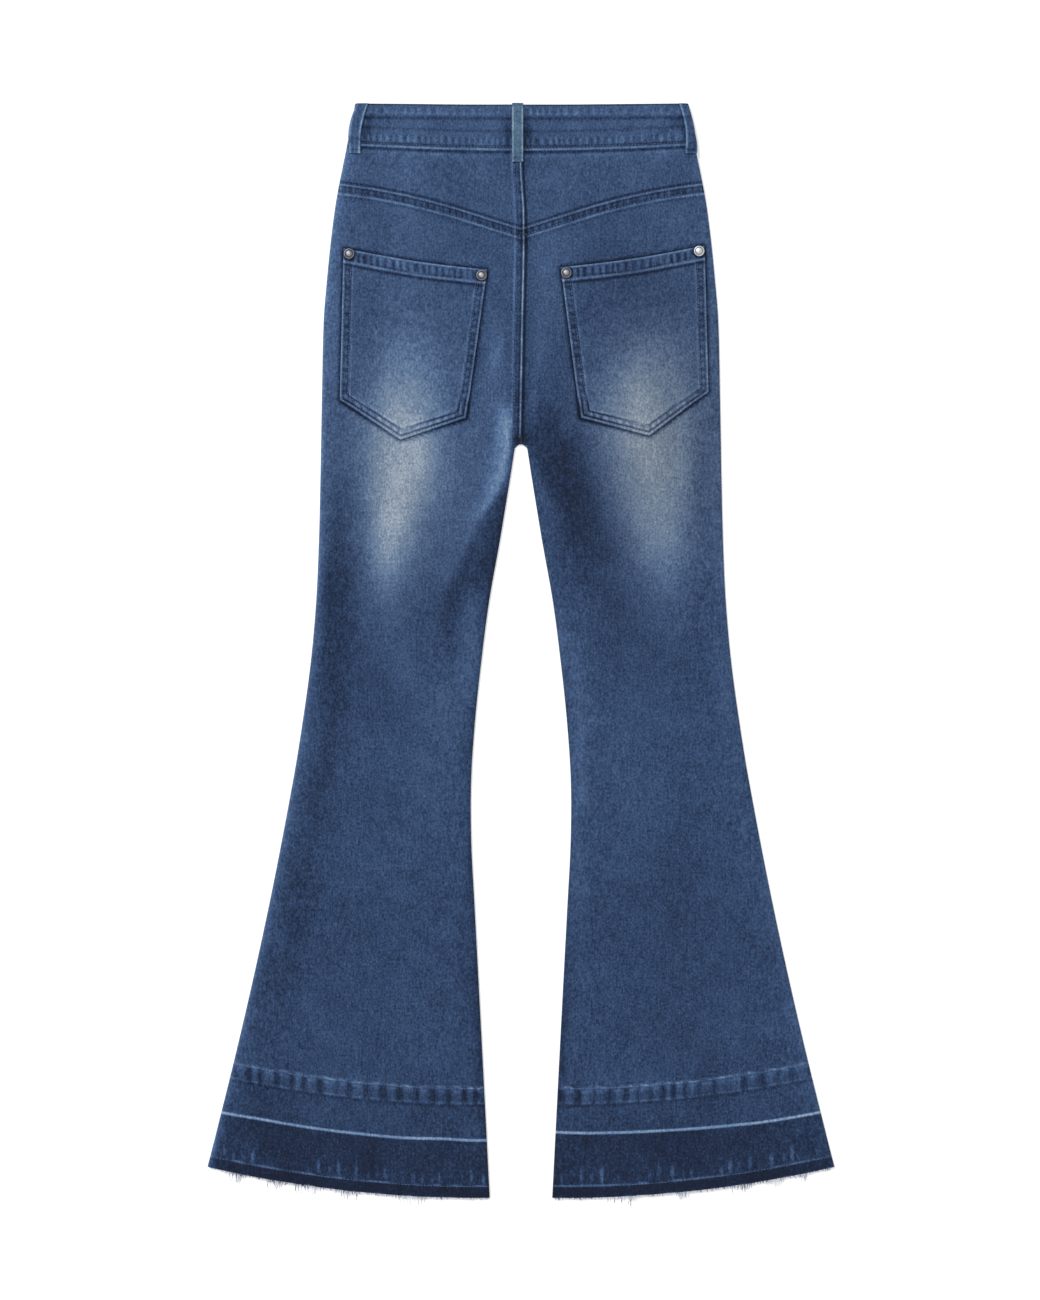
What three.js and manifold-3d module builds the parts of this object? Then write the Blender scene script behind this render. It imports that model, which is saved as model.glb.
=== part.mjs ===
// Women's flared jeans laid flat on a table, back side up.
// X runs across the garment, +Y runs from the hems to the waist, +Z is up, and the table is z = 0.
// The origin is on the table, under the middle of the garment's bounding box. Sizes are in millimetres.
// "Drop" is the distance below the waistband's top corners, "half" the distance from the middle line,
// and "side" is -1 for the wearer's left leg and +1 for the right one.
// The front panels lie flat on the table. The back panels lie over them, turn round the outer sides
// and end on the underside at the side seams.
import * as THREE from "three";
import { mergeVertices } from "three/addons/utils/BufferGeometryUtils.js";
import Module from "manifold-3d";

const wasm = await Module();
wasm.setup();

// Cloth and seams
const CLOTH = 1.2; // stretch denim, with its nap
const BAND_CLOTH = 2; // the waistband is two layers, pressed
const SEAM_GAP = 0.3; // clearance between pieces that are sewn together
const LENGTH = 1125; // waistband corner to the longest frayed thread
const TOP_Y = LENGTH / 2;

// Heights of the lying cloth
const EDGE_HEIGHT = 4; // both layers at the folded sides
const CROWN = 1.8; // how much higher the back layer lies away from the edges
const CROWN_REACH = 40;
const WAIST_LIFT = 2.4; // the front of the waist lies on its belt loops and button
const LIFT_LENGTH = 90; // the front panels come down to the table over this length
const FOLD_REACH = 3; // width of the rounded side, seen from above
const FOLD_ARC = 5; // length of cloth from the top of the fold to the outermost line
const LIP_REACH = 3; // the back layer rounds down to the front one at the inseam
const FLAP = 15; // the back panel reaches this far in under the garment

// Seam lines, as drops
const WAIST_SEAM = { middle: 49.2, rise: 6, half: 178 };
const TOP_EDGE_SAG = 1.5;
const YOKE = { middle: 127.7, slope: 0.314, straight: 60, flatten: 8e-4 };
const CROTCH = { drop: 349.5, half: 6.2, height: 2.5 };
const HEM = { drop: 1123, bend: 3.92e-4, middle: 37 };
const HEM_STRIP = 113; // old stitch line to raw edge
const FELL = { width: 9.5, step: 1, height: 0.5 }; // flat-felled seams stand proud of the panel

// The garment's outline as laid: the outer side of the legs and seat
const OUTER = [
  { drop: 0, half: 170 },
  { drop: 49, half: 179.7 },
  { drop: 98, half: 189.5 },
  { drop: 140, half: 195.2 },
  { drop: 181, half: 199.3 },
  { drop: 222, half: 202.6 },
  { drop: 304, half: 204.5 },
  { drop: 387, half: 206 },
  { drop: 448, half: 207.5 },
  { drop: 510, half: 210.3 },
  { drop: 572, half: 215.8 },
  { drop: 634, half: 224.2 },
  { drop: 696, half: 234.3 },
  { drop: 819, half: 258 },
  { drop: 943, half: 285.3 },
  { drop: 1067, half: 315.7 },
  { drop: 1125, half: 331 },
];

// The inner edge of the legs, from just under the crotch
const INNER = [
  { drop: 352, half: 6.2 },
  { drop: 387, half: 11.6 },
  { drop: 448, half: 21.6 },
  { drop: 510, half: 32.6 },
  { drop: 572, half: 40.7 },
  { drop: 634, half: 47.2 },
  { drop: 696, half: 51.2 },
  { drop: 758, half: 51 },
  { drop: 819, half: 47.9 },
  { drop: 881, half: 44.6 },
  { drop: 1005, half: 38.1 },
  { drop: 1125, half: 32 },
];

// The centre back seam wanders a little to the right of the middle line
const CENTRE_BACK = [
  { drop: 0, half: 0 },
  { drop: 61, half: 0.6 },
  { drop: 122, half: 3.8 },
  { drop: 237, half: 2 },
  { drop: 348, half: 0 },
];

// Soft ridges and troughs of the lying cloth, each from one point to another
const CREASES = [
  { x0: -12, drop0: 350, x1: -88, drop1: 505, width: 15, height: 0.55 },
  { x0: -28, drop0: 400, x1: -62, drop1: 520, width: 12, height: -0.5 },
  { x0: 14, drop0: 352, x1: 70, drop1: 470, width: 16, height: -0.5 },
  { x0: 60, drop0: 380, x1: 120, drop1: 560, width: 20, height: 0.4 },
  { x0: -125, drop0: 480, x1: -128, drop1: 620, width: 22, height: 0.45 },
  { x0: -190, drop0: 380, x1: -196, drop1: 620, width: 14, height: -0.4 },
  { x0: 190, drop0: 300, x1: 196, drop1: 560, width: 15, height: -0.35 },
  { x0: -225, drop0: 760, x1: -262, drop1: 960, width: 18, height: -0.4 },
  { x0: 205, drop0: 740, x1: 225, drop1: 960, width: 24, height: 0.4 },
];

// Pieces laid on the panels
const BAND_STAND = 0.8; // the waistband stands this much over the yoke
const BAND_LAP = 12; // its left end laps past the centre front
const POCKET = { gap: 0.5, hem: 14.5, hemHeight: 0.5, sag: 2.5 };
const POCKET_CORNERS = {
  left: [
    { half: 182.1, drop: 148.2 },
    { half: 34.4, drop: 170.4 },
    { half: 55.9, drop: 322.9 },
    { half: 123.6, drop: 345.6 },
    { half: 186, drop: 304.4 },
  ],
  right: [
    { half: 188.5, drop: 145.5 },
    { half: 40.5, drop: 167.9 },
    { half: 61, drop: 322.9 },
    { half: 131.8, drop: 341.4 },
    { half: 192.6, drop: 295.9 },
  ],
};
const RIVET = { radius: 5.3, base: 0.7, dome: 1.2, sides: 16 };
// Distances of a rivet's middle from the pocket's top corner, across and down
const RIVET_PLACE = { outer: -5.8, inner: 6, drop: 6 };
const LOOP = {
  width: 11.7,
  length: 60,
  cloth: 1.4,
  stand: 1.4,
  clear: 0.5,
  top: 0.3,
  centre: -3.4,
};
// The side loops slant and bow: how far in from the fold they are at the top and at the foot, and how
// far out their middles bend
const SIDE_LOOPS = {
  left: { length: 51, top: 4.9, foot: 6.8, bow: 2.9 },
  right: { length: 51, top: -0.6, foot: 3, bow: 3.2 },
};
const FRONT_LOOP = { half: 92, top: 1.5, shorter: 4, slack: 0.7 };
const BUTTON = { radius: 8.5, height: 2.1, drop: 24, half: 4, sides: 24 };
const FLY = { width: 38, straight: 165, end: 205 };
const ZIP = { width: 26, length: 150, thick: 1, half: 14, below: 4, stand: 0.1 };
const SCOOP = { top: 47.2, half: 100, depth: 90, power: 2.2, clear: 0.6, facing: 0.97 };
const PUCKER = { pitch: 14, high: 0.75, low: 0.25, strip: 15.5, edge: 2, fold: 60 };
const FRAY = {
  strip: 1.7,
  thick: 0.9, // of the strip
  steps: 24,
  strands: 58,
  root: 0.55, // thickness of a strand where it leaves the strip
  tip: 0.24,
  shortest: 2,
  longest: 13,
  hang: 3, // strands longer than this sink towards the table
  sunk: 0.6,
  lean: 0.35,
};

const DEG = Math.PI / 180;
const lerp = (a, b, t) => a + (b - a) * t;
const yAt = (drop) => TOP_Y - drop;

function smoothstep(from, to, value) {
  const t = Math.min(1, Math.max(0, (value - from) / (to - from)));
  return t * t * (3 - 2 * t);
}

// A smooth curve through a table's rows, read at a drop
function read(table, drop) {
  const last = table.length - 1;
  let i = 0;
  while (i < last - 1 && drop > table[i + 1].drop) i += 1;
  const slope = (k) => {
    const a = table[Math.max(0, k - 1)];
    const b = table[Math.min(last, k + 1)];
    return (b.half - a.half) / (b.drop - a.drop);
  };
  const a = table[i];
  const b = table[i + 1];
  const span = b.drop - a.drop;
  const t = Math.min(1, Math.max(0, (drop - a.drop) / span));
  const bend = t * t * (3 - 2 * t);
  return (
    lerp(a.half, b.half, bend) +
    span * t * (1 - t) * ((1 - t) * slope(i) - t * slope(i + 1))
  );
}

const outerHalf = (drop) => read(OUTER, drop);

// The inner edge below the crotch, whose top is a narrow round-cornered bridge
function innerHalf(drop) {
  const below = (drop - CROTCH.drop) / CROTCH.height;
  if (below >= 1) return read(INNER, drop);
  return CROTCH.half * Math.sqrt(Math.max(0, 1 - (1 - below) ** 2));
}

// Where a back panel ends towards the middle: at the centre back seam, then at the inseam
function backInner(side, drop) {
  if (drop < CROTCH.drop) return side * read(CENTRE_BACK, drop) + SEAM_GAP / 2;
  return Math.max(SEAM_GAP / 2, innerHalf(drop));
}

// Seam lines across the garment
const topEdge = (x) => TOP_EDGE_SAG * (1 - (x / OUTER[0].half) ** 2);
const waistSeam = (x) =>
  WAIST_SEAM.middle - WAIST_SEAM.rise * (x / WAIST_SEAM.half) ** 2;
function yokeSeam(x) {
  const half = Math.abs(x);
  const beyond = Math.max(0, half - YOKE.straight);
  return YOKE.middle - YOKE.slope * half + YOKE.flatten * beyond ** 2;
}
function rawEdge(x) {
  const beyond = Math.max(0, Math.abs(x) - HEM.middle);
  return HEM.drop - HEM.bend * beyond ** 2;
}
const hemSeam = (x) => rawEdge(x) - HEM_STRIP;

// Distance from a point of the garment to the inner edge, and to the nearest edge of all
function innerDistance(x, drop) {
  const half = Math.abs(x);
  const across = half - CROTCH.half;
  if (drop < CROTCH.drop) return Math.hypot(Math.max(0, across), CROTCH.drop - drop);
  return Math.max(0, half - Math.max(innerHalf(drop), Math.min(half, CROTCH.half)));
}
function edgeDistance(x, drop) {
  const outer = outerHalf(drop) - Math.abs(x);
  return Math.max(0, Math.min(outer, innerDistance(x, drop)));
}

// How far the front layer is off the table
function lift(drop) {
  const start = WAIST_SEAM.middle - WAIST_SEAM.rise;
  return WAIST_LIFT * (1 - smoothstep(start, start + LIFT_LENGTH, drop));
}

// The sum of the creases at a point, each a soft ridge that fades at its ends
function creases(x, drop) {
  let sum = 0;
  for (const c of CREASES) {
    const run = new THREE.Vector2(c.x1 - c.x0, c.drop1 - c.drop0);
    const here = new THREE.Vector2(x - c.x0, drop - c.drop0);
    const t = Math.min(1, Math.max(0, here.dot(run) / run.lengthSq()));
    const off = here.distanceTo(run.clone().multiplyScalar(t)) / c.width;
    sum += c.height * Math.exp(-off * off) * Math.sin(Math.PI * lerp(0.12, 0.88, t));
  }
  return sum;
}

// The top of the back layer, before it turns down at the edges
function upper(x, drop) {
  const away = 1 - Math.exp(-edgeDistance(x, drop) / CROWN_REACH);
  return lift(drop) + EDGE_HEIGHT + CROWN * away + creases(x, drop) * away;
}

// The same, rounded down to the front layer along the inseam and crotch
function lipped(x, drop) {
  const top = upper(x, drop);
  const lip = lift(drop) + 2 * CLOTH + SEAM_GAP;
  const near = Math.min(1, innerDistance(x, drop) / LIP_REACH);
  return lip + (top - lip) * Math.sqrt(1 - (1 - near) ** 2);
}

// A closed wall from two grids of points, its outer and its inner face
function wall(outer, inner) {
  const rows = outer.length;
  const columns = outer[0].length;
  const points = [...outer.flat(), ...inner.flat()];
  const at = (layer, r, c) => (layer * rows + r) * columns + c;
  const index = [];
  const quad = (a, b, c, d) => index.push(a, b, c, a, c, d);
  for (let r = 0; r < rows - 1; r += 1) {
    for (let c = 0; c < columns - 1; c += 1) {
      quad(at(0, r, c), at(0, r + 1, c), at(0, r + 1, c + 1), at(0, r, c + 1));
      quad(at(1, r, c), at(1, r, c + 1), at(1, r + 1, c + 1), at(1, r + 1, c));
    }
    const end = columns - 1;
    quad(at(0, r + 1, 0), at(0, r, 0), at(1, r, 0), at(1, r + 1, 0));
    quad(at(0, r, end), at(0, r + 1, end), at(1, r + 1, end), at(1, r, end));
  }
  for (let c = 0; c < columns - 1; c += 1) {
    const end = rows - 1;
    quad(at(0, 0, c), at(0, 0, c + 1), at(1, 0, c + 1), at(1, 0, c));
    quad(at(0, end, c + 1), at(0, end, c), at(1, end, c), at(1, end, c + 1));
  }
  return facingOut(points, index);
}

// Six times the volume that a triangle list encloses, negative when it is inside out
function signedVolume(points, index) {
  let sum = 0;
  for (let i = 0; i < index.length; i += 3) {
    const [a, b, c] = [points[index[i]], points[index[i + 1]], points[index[i + 2]]];
    sum += a.dot(b.clone().cross(c));
  }
  return sum;
}

function facingOut(points, index) {
  if (signedVolume(points, index) < 0) index.reverse();
  const geometry = new THREE.BufferGeometry().setFromPoints(points);
  geometry.setIndex(index);
  return geometry;
}

// The cloth's turn round the outer side. The angle goes from 90 on top to -90 underneath.
function turn(edge, bottom, top, angle, inset) {
  const high = (top - bottom) / 2 - inset;
  return {
    half: edge - FOLD_REACH + (FOLD_REACH - inset) * Math.cos(angle * DEG),
    z: (top + bottom) / 2 + high * Math.sin(angle * DEG),
  };
}

const TURN_ANGLES = [60, 30, 0, -30, -60, -90];

// Columns of a back panel, from the middle outwards: across the top, round the side, in under the flap
function panelColumns(nearInner, across) {
  const columns = nearInner.map((from) => ({ from }));
  const start = nearInner[nearInner.length - 1];
  for (let i = 1; i <= across; i += 1) columns.push({ start, share: i / across });
  for (const angle of TURN_ANGLES) columns.push({ angle });
  columns.push({ flap: FLAP });
  return columns;
}

// Where a column stands at a drop, as a distance from the middle line
function columnHalf(column, inner, drop) {
  const edge = outerHalf(drop);
  if (column.from !== undefined) return inner + column.from;
  if (column.share !== undefined)
    return lerp(inner + column.start, edge - FOLD_REACH, column.share);
  if (column.flap !== undefined) return edge - column.flap;
  return edge - FOLD_REACH + FOLD_REACH * Math.cos(column.angle * DEG);
}

// A point of the back layer in one column, between a panel's top and bottom lines
function settle(side, column, topLine, bottomLine, v, innerEdge) {
  let drop = lerp(topLine(0), bottomLine(0), v);
  let half = 0;
  for (let pass = 0; pass < 12; pass += 1) {
    half = columnHalf(column, innerEdge(side, drop), drop);
    drop = lerp(topLine(half), bottomLine(half), v);
  }
  return { half, drop };
}

// A panel of the back layer. Its height and raised seams come from functions of place.
function backPanel({ side, topLine, bottomLine, rows, columns, cloth, height, raise }) {
  const outer = [];
  const inner = [];
  for (const v of rows) {
    const outerRow = [];
    const innerRow = [];
    for (const column of columns) {
      const { half, drop } = settle(side, column, topLine, bottomLine, v, backInner);
      const edge = outerHalf(drop);
      const bottom = lift(drop);
      const y = yAt(drop);
      const foldTop = height(side * (edge - FOLD_REACH), drop);
      if (column.angle !== undefined) {
        const out = turn(edge, bottom, foldTop, column.angle, 0);
        const within = turn(edge, bottom, foldTop, column.angle, cloth);
        outerRow.push(new THREE.Vector3(side * out.half, y, out.z));
        innerRow.push(new THREE.Vector3(side * within.half, y, within.z));
      } else if (column.flap !== undefined) {
        outerRow.push(new THREE.Vector3(side * half, y, bottom));
        innerRow.push(new THREE.Vector3(side * half, y, bottom + cloth));
      } else {
        const x = side * half;
        const z = height(x, drop);
        outerRow.push(new THREE.Vector3(x, y, z + raise(side, column, x, drop)));
        innerRow.push(new THREE.Vector3(x, y, z - cloth));
      }
    }
    outer.push(outerRow);
    inner.push(innerRow);
  }
  return wall(outer, inner);
}

// Rows as shares of the way down a panel, from distances below its top line
function shares(topLine, bottomLine, distances) {
  const run = bottomLine(0) - topLine(0);
  return distances.map((d) => Math.min(1, d / run));
}

// A line moved down the garment
const below = (line, by) => (x) => line(x) + by;

// The felled centre back seam lies on the left panel, up to the crotch
function centreFell(side, column, x, drop) {
  const inFell = column.from !== undefined && column.from <= FELL.width;
  const fade = 1 - smoothstep(CROTCH.drop - 25, CROTCH.drop - 8, drop);
  return side < 0 && inFell ? FELL.height * fade : 0;
}

// The felled yoke seam lies on the leg, just under the yoke
function legSeams(side, column, x, drop) {
  const down = drop - yokeSeam(x);
  const yokeFell = down < FELL.width + 0.2 * FELL.step ? FELL.height : 0;
  return Math.max(yokeFell, centreFell(side, column, x, drop));
}

const NEAR_CENTRE = [0, 1.2, LIP_REACH, FELL.width, FELL.width + FELL.step];
const HALF_GAP = SEAM_GAP / 2;

function yoke(side) {
  const topLine = below(waistSeam, HALF_GAP);
  const bottomLine = below(yokeSeam, -HALF_GAP);
  return backPanel({
    side,
    topLine,
    bottomLine,
    rows: [0, 0.25, 0.5, 0.75, 1],
    columns: panelColumns(NEAR_CENTRE, 8),
    cloth: CLOTH,
    height: lipped,
    raise: centreFell,
  });
}

function backLeg(side) {
  const topLine = below(yokeSeam, HALF_GAP);
  const bottomLine = below(hemSeam, -HALF_GAP);
  const crotch = CROTCH.drop - topLine(0);
  const rows = [0, FELL.width, FELL.width + FELL.step, 45, 90, 135, 175, 205, crotch];
  for (const more of [1, 4, 9, 22, 42, 66]) rows.push(crotch + more);
  for (let more = 100; more < 650; more += 42) rows.push(crotch + more);
  rows.push(bottomLine(0) - topLine(0));
  return backPanel({
    side,
    topLine,
    bottomLine,
    rows: shares(topLine, bottomLine, rows),
    columns: panelColumns(NEAR_CENTRE, 8),
    cloth: CLOTH,
    height: lipped,
    raise: legSeams,
  });
}

// The let-down hem: its old stitching puckers the top, and a crease marks the old fold
function hemStrip(side) {
  const topLine = below(hemSeam, HALF_GAP);
  const across = 2 * Math.round(255 / PUCKER.pitch);
  const columns = panelColumns([0, 1.2, LIP_REACH], across);
  const pucker = (s, column, x, drop) => {
    const down = drop - hemSeam(x);
    const onStrip = down > PUCKER.edge - 1 && down < PUCKER.strip - PUCKER.edge + 1;
    const wave = columns.indexOf(column) % 2 ? PUCKER.high : PUCKER.low;
    if (onStrip) return wave;
    return down > FELL.width + PUCKER.strip && down < PUCKER.fold ? PUCKER.low : 0;
  };
  const { strip, edge } = PUCKER;
  const end = HEM_STRIP - HALF_GAP;
  return backPanel({
    side,
    topLine,
    bottomLine: rawEdge,
    rows: shares(topLine, rawEdge, [0, edge, strip - edge, strip, 50, 53, 56, end]),
    columns,
    cloth: CLOTH,
    height: lipped,
    raise: pucker,
  });
}

// A flat panel of the front layer, outer face down, between two edges given as halves
function frontPanel({ side, topLine, bottomLine, rows, across, cloth, from, to }) {
  const outer = [];
  const inner = [];
  for (const v of rows) {
    const outerRow = [];
    const innerRow = [];
    for (let i = 0; i <= across; i += 1) {
      let drop = lerp(topLine(0), bottomLine(0), v);
      let half = 0;
      for (let pass = 0; pass < 12; pass += 1) {
        half = lerp(from(drop), to(drop), i / across);
        drop = lerp(topLine(half), bottomLine(half), v);
      }
      const bottom = lift(drop);
      outerRow.push(new THREE.Vector3(side * half, yAt(drop), bottom));
      innerRow.push(new THREE.Vector3(side * half, yAt(drop), bottom + cloth));
    }
    outer.push(outerRow);
    inner.push(innerRow);
  }
  return wall(outer, inner);
}

const sideSeam = (drop) => outerHalf(drop) - FLAP - SEAM_GAP;
const frontInner = (drop) =>
  drop < CROTCH.drop ? HALF_GAP : Math.max(HALF_GAP, innerHalf(drop));

// The slanting pocket mouth of the front, from the waist seam to the side seam
function scoop(drop) {
  const t = Math.max(0, (drop - SCOOP.top) / SCOOP.depth);
  const end = outerHalf(SCOOP.top + SCOOP.depth) - FLAP;
  return lerp(SCOOP.half, end, t ** SCOOP.power);
}

// The fly's edge on the left front, straight and then curving in to the centre
function flyEdge(drop) {
  if (drop > FLY.end) return 0;
  const t = Math.max(0, (drop - FLY.straight) / (FLY.end - FLY.straight));
  return FLY.width * Math.cos((t * Math.PI) / 2);
}

function frontLeg(side) {
  const topLine = below(waistSeam, HALF_GAP);
  const bottomLine = below(hemSeam, -HALF_GAP);
  const crotch = CROTCH.drop - topLine(0);
  const rows = [0, 20, 40, 56, 70, 82, 91, 116, 128, 140, 150, 156, 180, 240, crotch];
  for (const more of [1, 4, 9, 22, 42, 66]) rows.push(crotch + more);
  for (let more = 100; more < 650; more += 42) rows.push(crotch + more);
  rows.push(bottomLine(0) - topLine(0));
  const flyWidth = (drop) => (side < 0 ? flyEdge(drop) + SEAM_GAP : 0);
  return frontPanel({
    side,
    topLine,
    bottomLine,
    rows: shares(topLine, bottomLine, rows),
    across: 5,
    cloth: CLOTH,
    from: (drop) => Math.max(frontInner(drop), flyWidth(drop)),
    to: (drop) => Math.min(sideSeam(drop), scoop(drop) - SCOOP.clear),
  });
}

function pocketFacing(side) {
  return frontPanel({
    side,
    topLine: below(waistSeam, HALF_GAP),
    bottomLine: () => SCOOP.top + SCOOP.facing * SCOOP.depth,
    rows: [0, 0.25, 0.45, 0.63, 0.78, 0.9, 1],
    across: 3,
    cloth: CLOTH,
    from: scoop,
    to: sideSeam,
  });
}

function fly() {
  return frontPanel({
    side: -1,
    topLine: below(waistSeam, HALF_GAP),
    bottomLine: () => FLY.end - 1,
    rows: [0, 0.25, 0.5, 0.74, 0.82, 0.9, 0.96, 1],
    across: 2,
    cloth: CLOTH,
    from: () => HALF_GAP,
    to: (drop) => flyEdge(drop),
  });
}

// The closed zip lies inside, on the back of the fly
function zip() {
  const start = WAIST_SEAM.middle + ZIP.below;
  const ends = [-ZIP.half - ZIP.width / 2, -ZIP.half + ZIP.width / 2];
  const outer = [];
  const inner = [];
  for (const share of [0, 0.2, 0.4, 0.6, 0.8, 1]) {
    const drop = start + ZIP.length * share;
    const bottom = lift(drop) + CLOTH + SEAM_GAP + ZIP.stand;
    outer.push(ends.map((x) => new THREE.Vector3(x, yAt(drop), bottom)));
    inner.push(ends.map((x) => new THREE.Vector3(x, yAt(drop), bottom + ZIP.thick)));
  }
  return wall(outer, inner);
}

function hemFront(side) {
  return frontPanel({
    side,
    topLine: below(hemSeam, HALF_GAP),
    bottomLine: below(rawEdge, -1),
    rows: [0, 0.5, 1],
    across: 8,
    cloth: CLOTH,
    from: frontInner,
    to: sideSeam,
  });
}

// The back of the waistband stands a little over the yoke and turns round both sides
const bandTop = (x, drop) => upper(x, drop) + BAND_STAND;

function waistbandBack() {
  const halves = [];
  for (let i = 1; i <= 6; i += 1) halves.push({ start: 0, share: i / 6 });
  for (const angle of TURN_ANGLES) halves.push({ angle });
  halves.push({ flap: FLAP });
  const mirrored = [...halves].reverse();
  const columns = [
    ...mirrored.map((column) => ({ side: -1, column })),
    { side: 1, column: { from: 0 } },
    ...halves.map((column) => ({ side: 1, column })),
  ];
  const bottomLine = below(waistSeam, -HALF_GAP);
  const outer = [];
  const inner = [];
  for (const v of [0, 0.33, 0.67, 1]) {
    const outerRow = [];
    const innerRow = [];
    for (const { side, column } of columns) {
      const { half, drop } = settle(side, column, topEdge, bottomLine, v, () => 0);
      const edge = outerHalf(drop);
      const bottom = lift(drop);
      const x = side * half;
      const y = yAt(drop);
      if (column.angle !== undefined) {
        const foldTop = bandTop(edge - FOLD_REACH, drop);
        const out = turn(edge, bottom, foldTop, column.angle, 0);
        const within = turn(edge, bottom, foldTop, column.angle, BAND_CLOTH);
        outerRow.push(new THREE.Vector3(side * out.half, y, out.z));
        innerRow.push(new THREE.Vector3(side * within.half, y, within.z));
      } else if (column.flap !== undefined) {
        outerRow.push(new THREE.Vector3(x, y, bottom));
        innerRow.push(new THREE.Vector3(x, y, bottom + BAND_CLOTH));
      } else {
        outerRow.push(new THREE.Vector3(x, y, bandTop(x, drop)));
        innerRow.push(new THREE.Vector3(x, y, bandTop(x, drop) - BAND_CLOTH));
      }
    }
    outer.push(outerRow);
    inner.push(innerRow);
  }
  return wall(outer, inner);
}

// The front of the waistband in two ends, the left one lapped past the centre for the button
function waistbandFront(side) {
  return frontPanel({
    side,
    topLine: topEdge,
    bottomLine: below(waistSeam, -HALF_GAP),
    rows: [0, 1],
    across: 6,
    cloth: BAND_CLOTH,
    from: () => (side < 0 ? -BAND_LAP : BAND_LAP + SEAM_GAP),
    to: sideSeam,
  });
}

// Point at shares u, v of a back pocket, whose top edge sags and whose foot is a blunt point
function pocketPoint(corners, u, v) {
  const [outerTop, innerTop, innerFoot, point, outerFoot] = corners;
  const mix = (a, b, t) => ({
    half: lerp(a.half, b.half, t),
    drop: lerp(a.drop, b.drop, t),
  });
  const top = mix(outerTop, innerTop, u);
  top.drop += POCKET.sag * Math.sin(Math.PI * u);
  const foot =
    u < 0.5 ? mix(outerFoot, point, 2 * u) : mix(point, innerFoot, 2 * u - 1);
  return mix(top, foot, v);
}

function backPocket(side) {
  const corners = side < 0 ? POCKET_CORNERS.left : POCKET_CORNERS.right;
  const depth = corners[2].drop - corners[1].drop;
  const hem = POCKET.hem / depth;
  const outer = [];
  const inner = [];
  for (const v of [0, hem, hem + 0.01, 0.3, 0.5, 0.7, 0.85, 1]) {
    const outerRow = [];
    const innerRow = [];
    for (let i = 0; i <= 10; i += 1) {
      const { half, drop } = pocketPoint(corners, i / 10, v);
      const x = side * half;
      const base = upper(x, drop) + POCKET.gap;
      const doubled = v <= hem ? POCKET.hemHeight : 0;
      outerRow.push(new THREE.Vector3(x, yAt(drop), base + CLOTH + doubled));
      innerRow.push(new THREE.Vector3(x, yAt(drop), base));
    }
    outer.push(outerRow);
    inner.push(innerRow);
  }
  return wall(outer, inner);
}

// A domed rivet head, standing on a pocket's top corner
function rivet() {
  const profile = [
    new THREE.Vector2(0, 0),
    new THREE.Vector2(RIVET.radius, 0),
    new THREE.Vector2(RIVET.radius, RIVET.base),
    new THREE.Vector2(RIVET.radius * 0.72, RIVET.base + RIVET.dome * 0.75),
    new THREE.Vector2(RIVET.radius * 0.36, RIVET.base + RIVET.dome),
    new THREE.Vector2(0, RIVET.base + RIVET.dome),
  ];
  return new THREE.LatheGeometry(profile, RIVET.sides).rotateX(Math.PI / 2);
}

function placeRivet(mesh, side, atInner) {
  const corners = side < 0 ? POCKET_CORNERS.left : POCKET_CORNERS.right;
  const corner = corners[atInner ? 1 : 0];
  const x = side * (corner.half + (atInner ? RIVET_PLACE.inner : RIVET_PLACE.outer));
  const drop = corner.drop + RIVET_PLACE.drop;
  const seat = upper(x, drop) + POCKET.gap + CLOTH + POCKET.hemHeight + SEAM_GAP;
  mesh.position.set(x, yAt(drop), seat);
}

// The surface under a belt loop: the waistband, and then the yoke with the centre back seam on it
function underLoop(x, drop) {
  const seam = waistSeam(x);
  const fell = Math.abs(x) < FELL.width + LOOP.width ? FELL.height : 0;
  const step = smoothstep(seam + 1, seam + 7, drop);
  return lerp(bandTop(x, drop), upper(x, drop) + fell, step);
}

// A belt loop across the waistband, standing off it between its sewn ends
function beltLoop(length, middle, columns, seat) {
  const outer = [];
  const inner = [];
  for (const v of [0, 0.12, 0.3, 0.5, 0.7, 0.82, 0.94, 1]) {
    const drop = LOOP.top + length * v;
    const stand = LOOP.stand * Math.sin(Math.PI * v) ** 0.7;
    const outerRow = [];
    const innerRow = [];
    for (let i = 0; i <= columns; i += 1) {
      const spot = middle(drop) + (i / columns - 0.5) * LOOP.width;
      const { x, z, nx, nz } = seat(spot, drop);
      const point = (off) => new THREE.Vector3(x + nx * off, yAt(drop), z + nz * off);
      outerRow.push(point(LOOP.clear + stand + LOOP.cloth));
      innerRow.push(point(LOOP.clear + stand));
    }
    outer.push(outerRow);
    inner.push(innerRow);
  }
  return wall(outer, inner);
}

function centreLoop() {
  const seat = (x, drop) => ({ x, z: underLoop(x, drop), nx: 0, nz: 1 });
  return beltLoop(LOOP.length, () => LOOP.centre, 3, seat);
}

// A loop by the side. Its spots are measured inwards from the fold, along the cloth.
function sideLoop(side, slant) {
  const seat = (spot, drop) => {
    const edge = outerHalf(drop);
    if (spot >= 0) {
      const x = side * (edge - FOLD_REACH - spot);
      return { x, z: underLoop(x, drop), nx: 0, nz: 1 };
    }
    const angle = 90 + (90 * spot) / FOLD_ARC;
    const top = underLoop(side * (edge - FOLD_REACH), drop);
    const at = turn(edge, lift(drop), top, angle, 0);
    const nx = side * Math.cos(angle * DEG);
    return { x: side * at.half, z: at.z, nx, nz: Math.sin(angle * DEG) };
  };
  const middle = (drop) => {
    const v = Math.min(1, drop / slant.length);
    return lerp(slant.top, slant.foot, v) - slant.bow * Math.sin(Math.PI * v);
  };
  return beltLoop(slant.length, middle, 8, seat);
}

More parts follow.
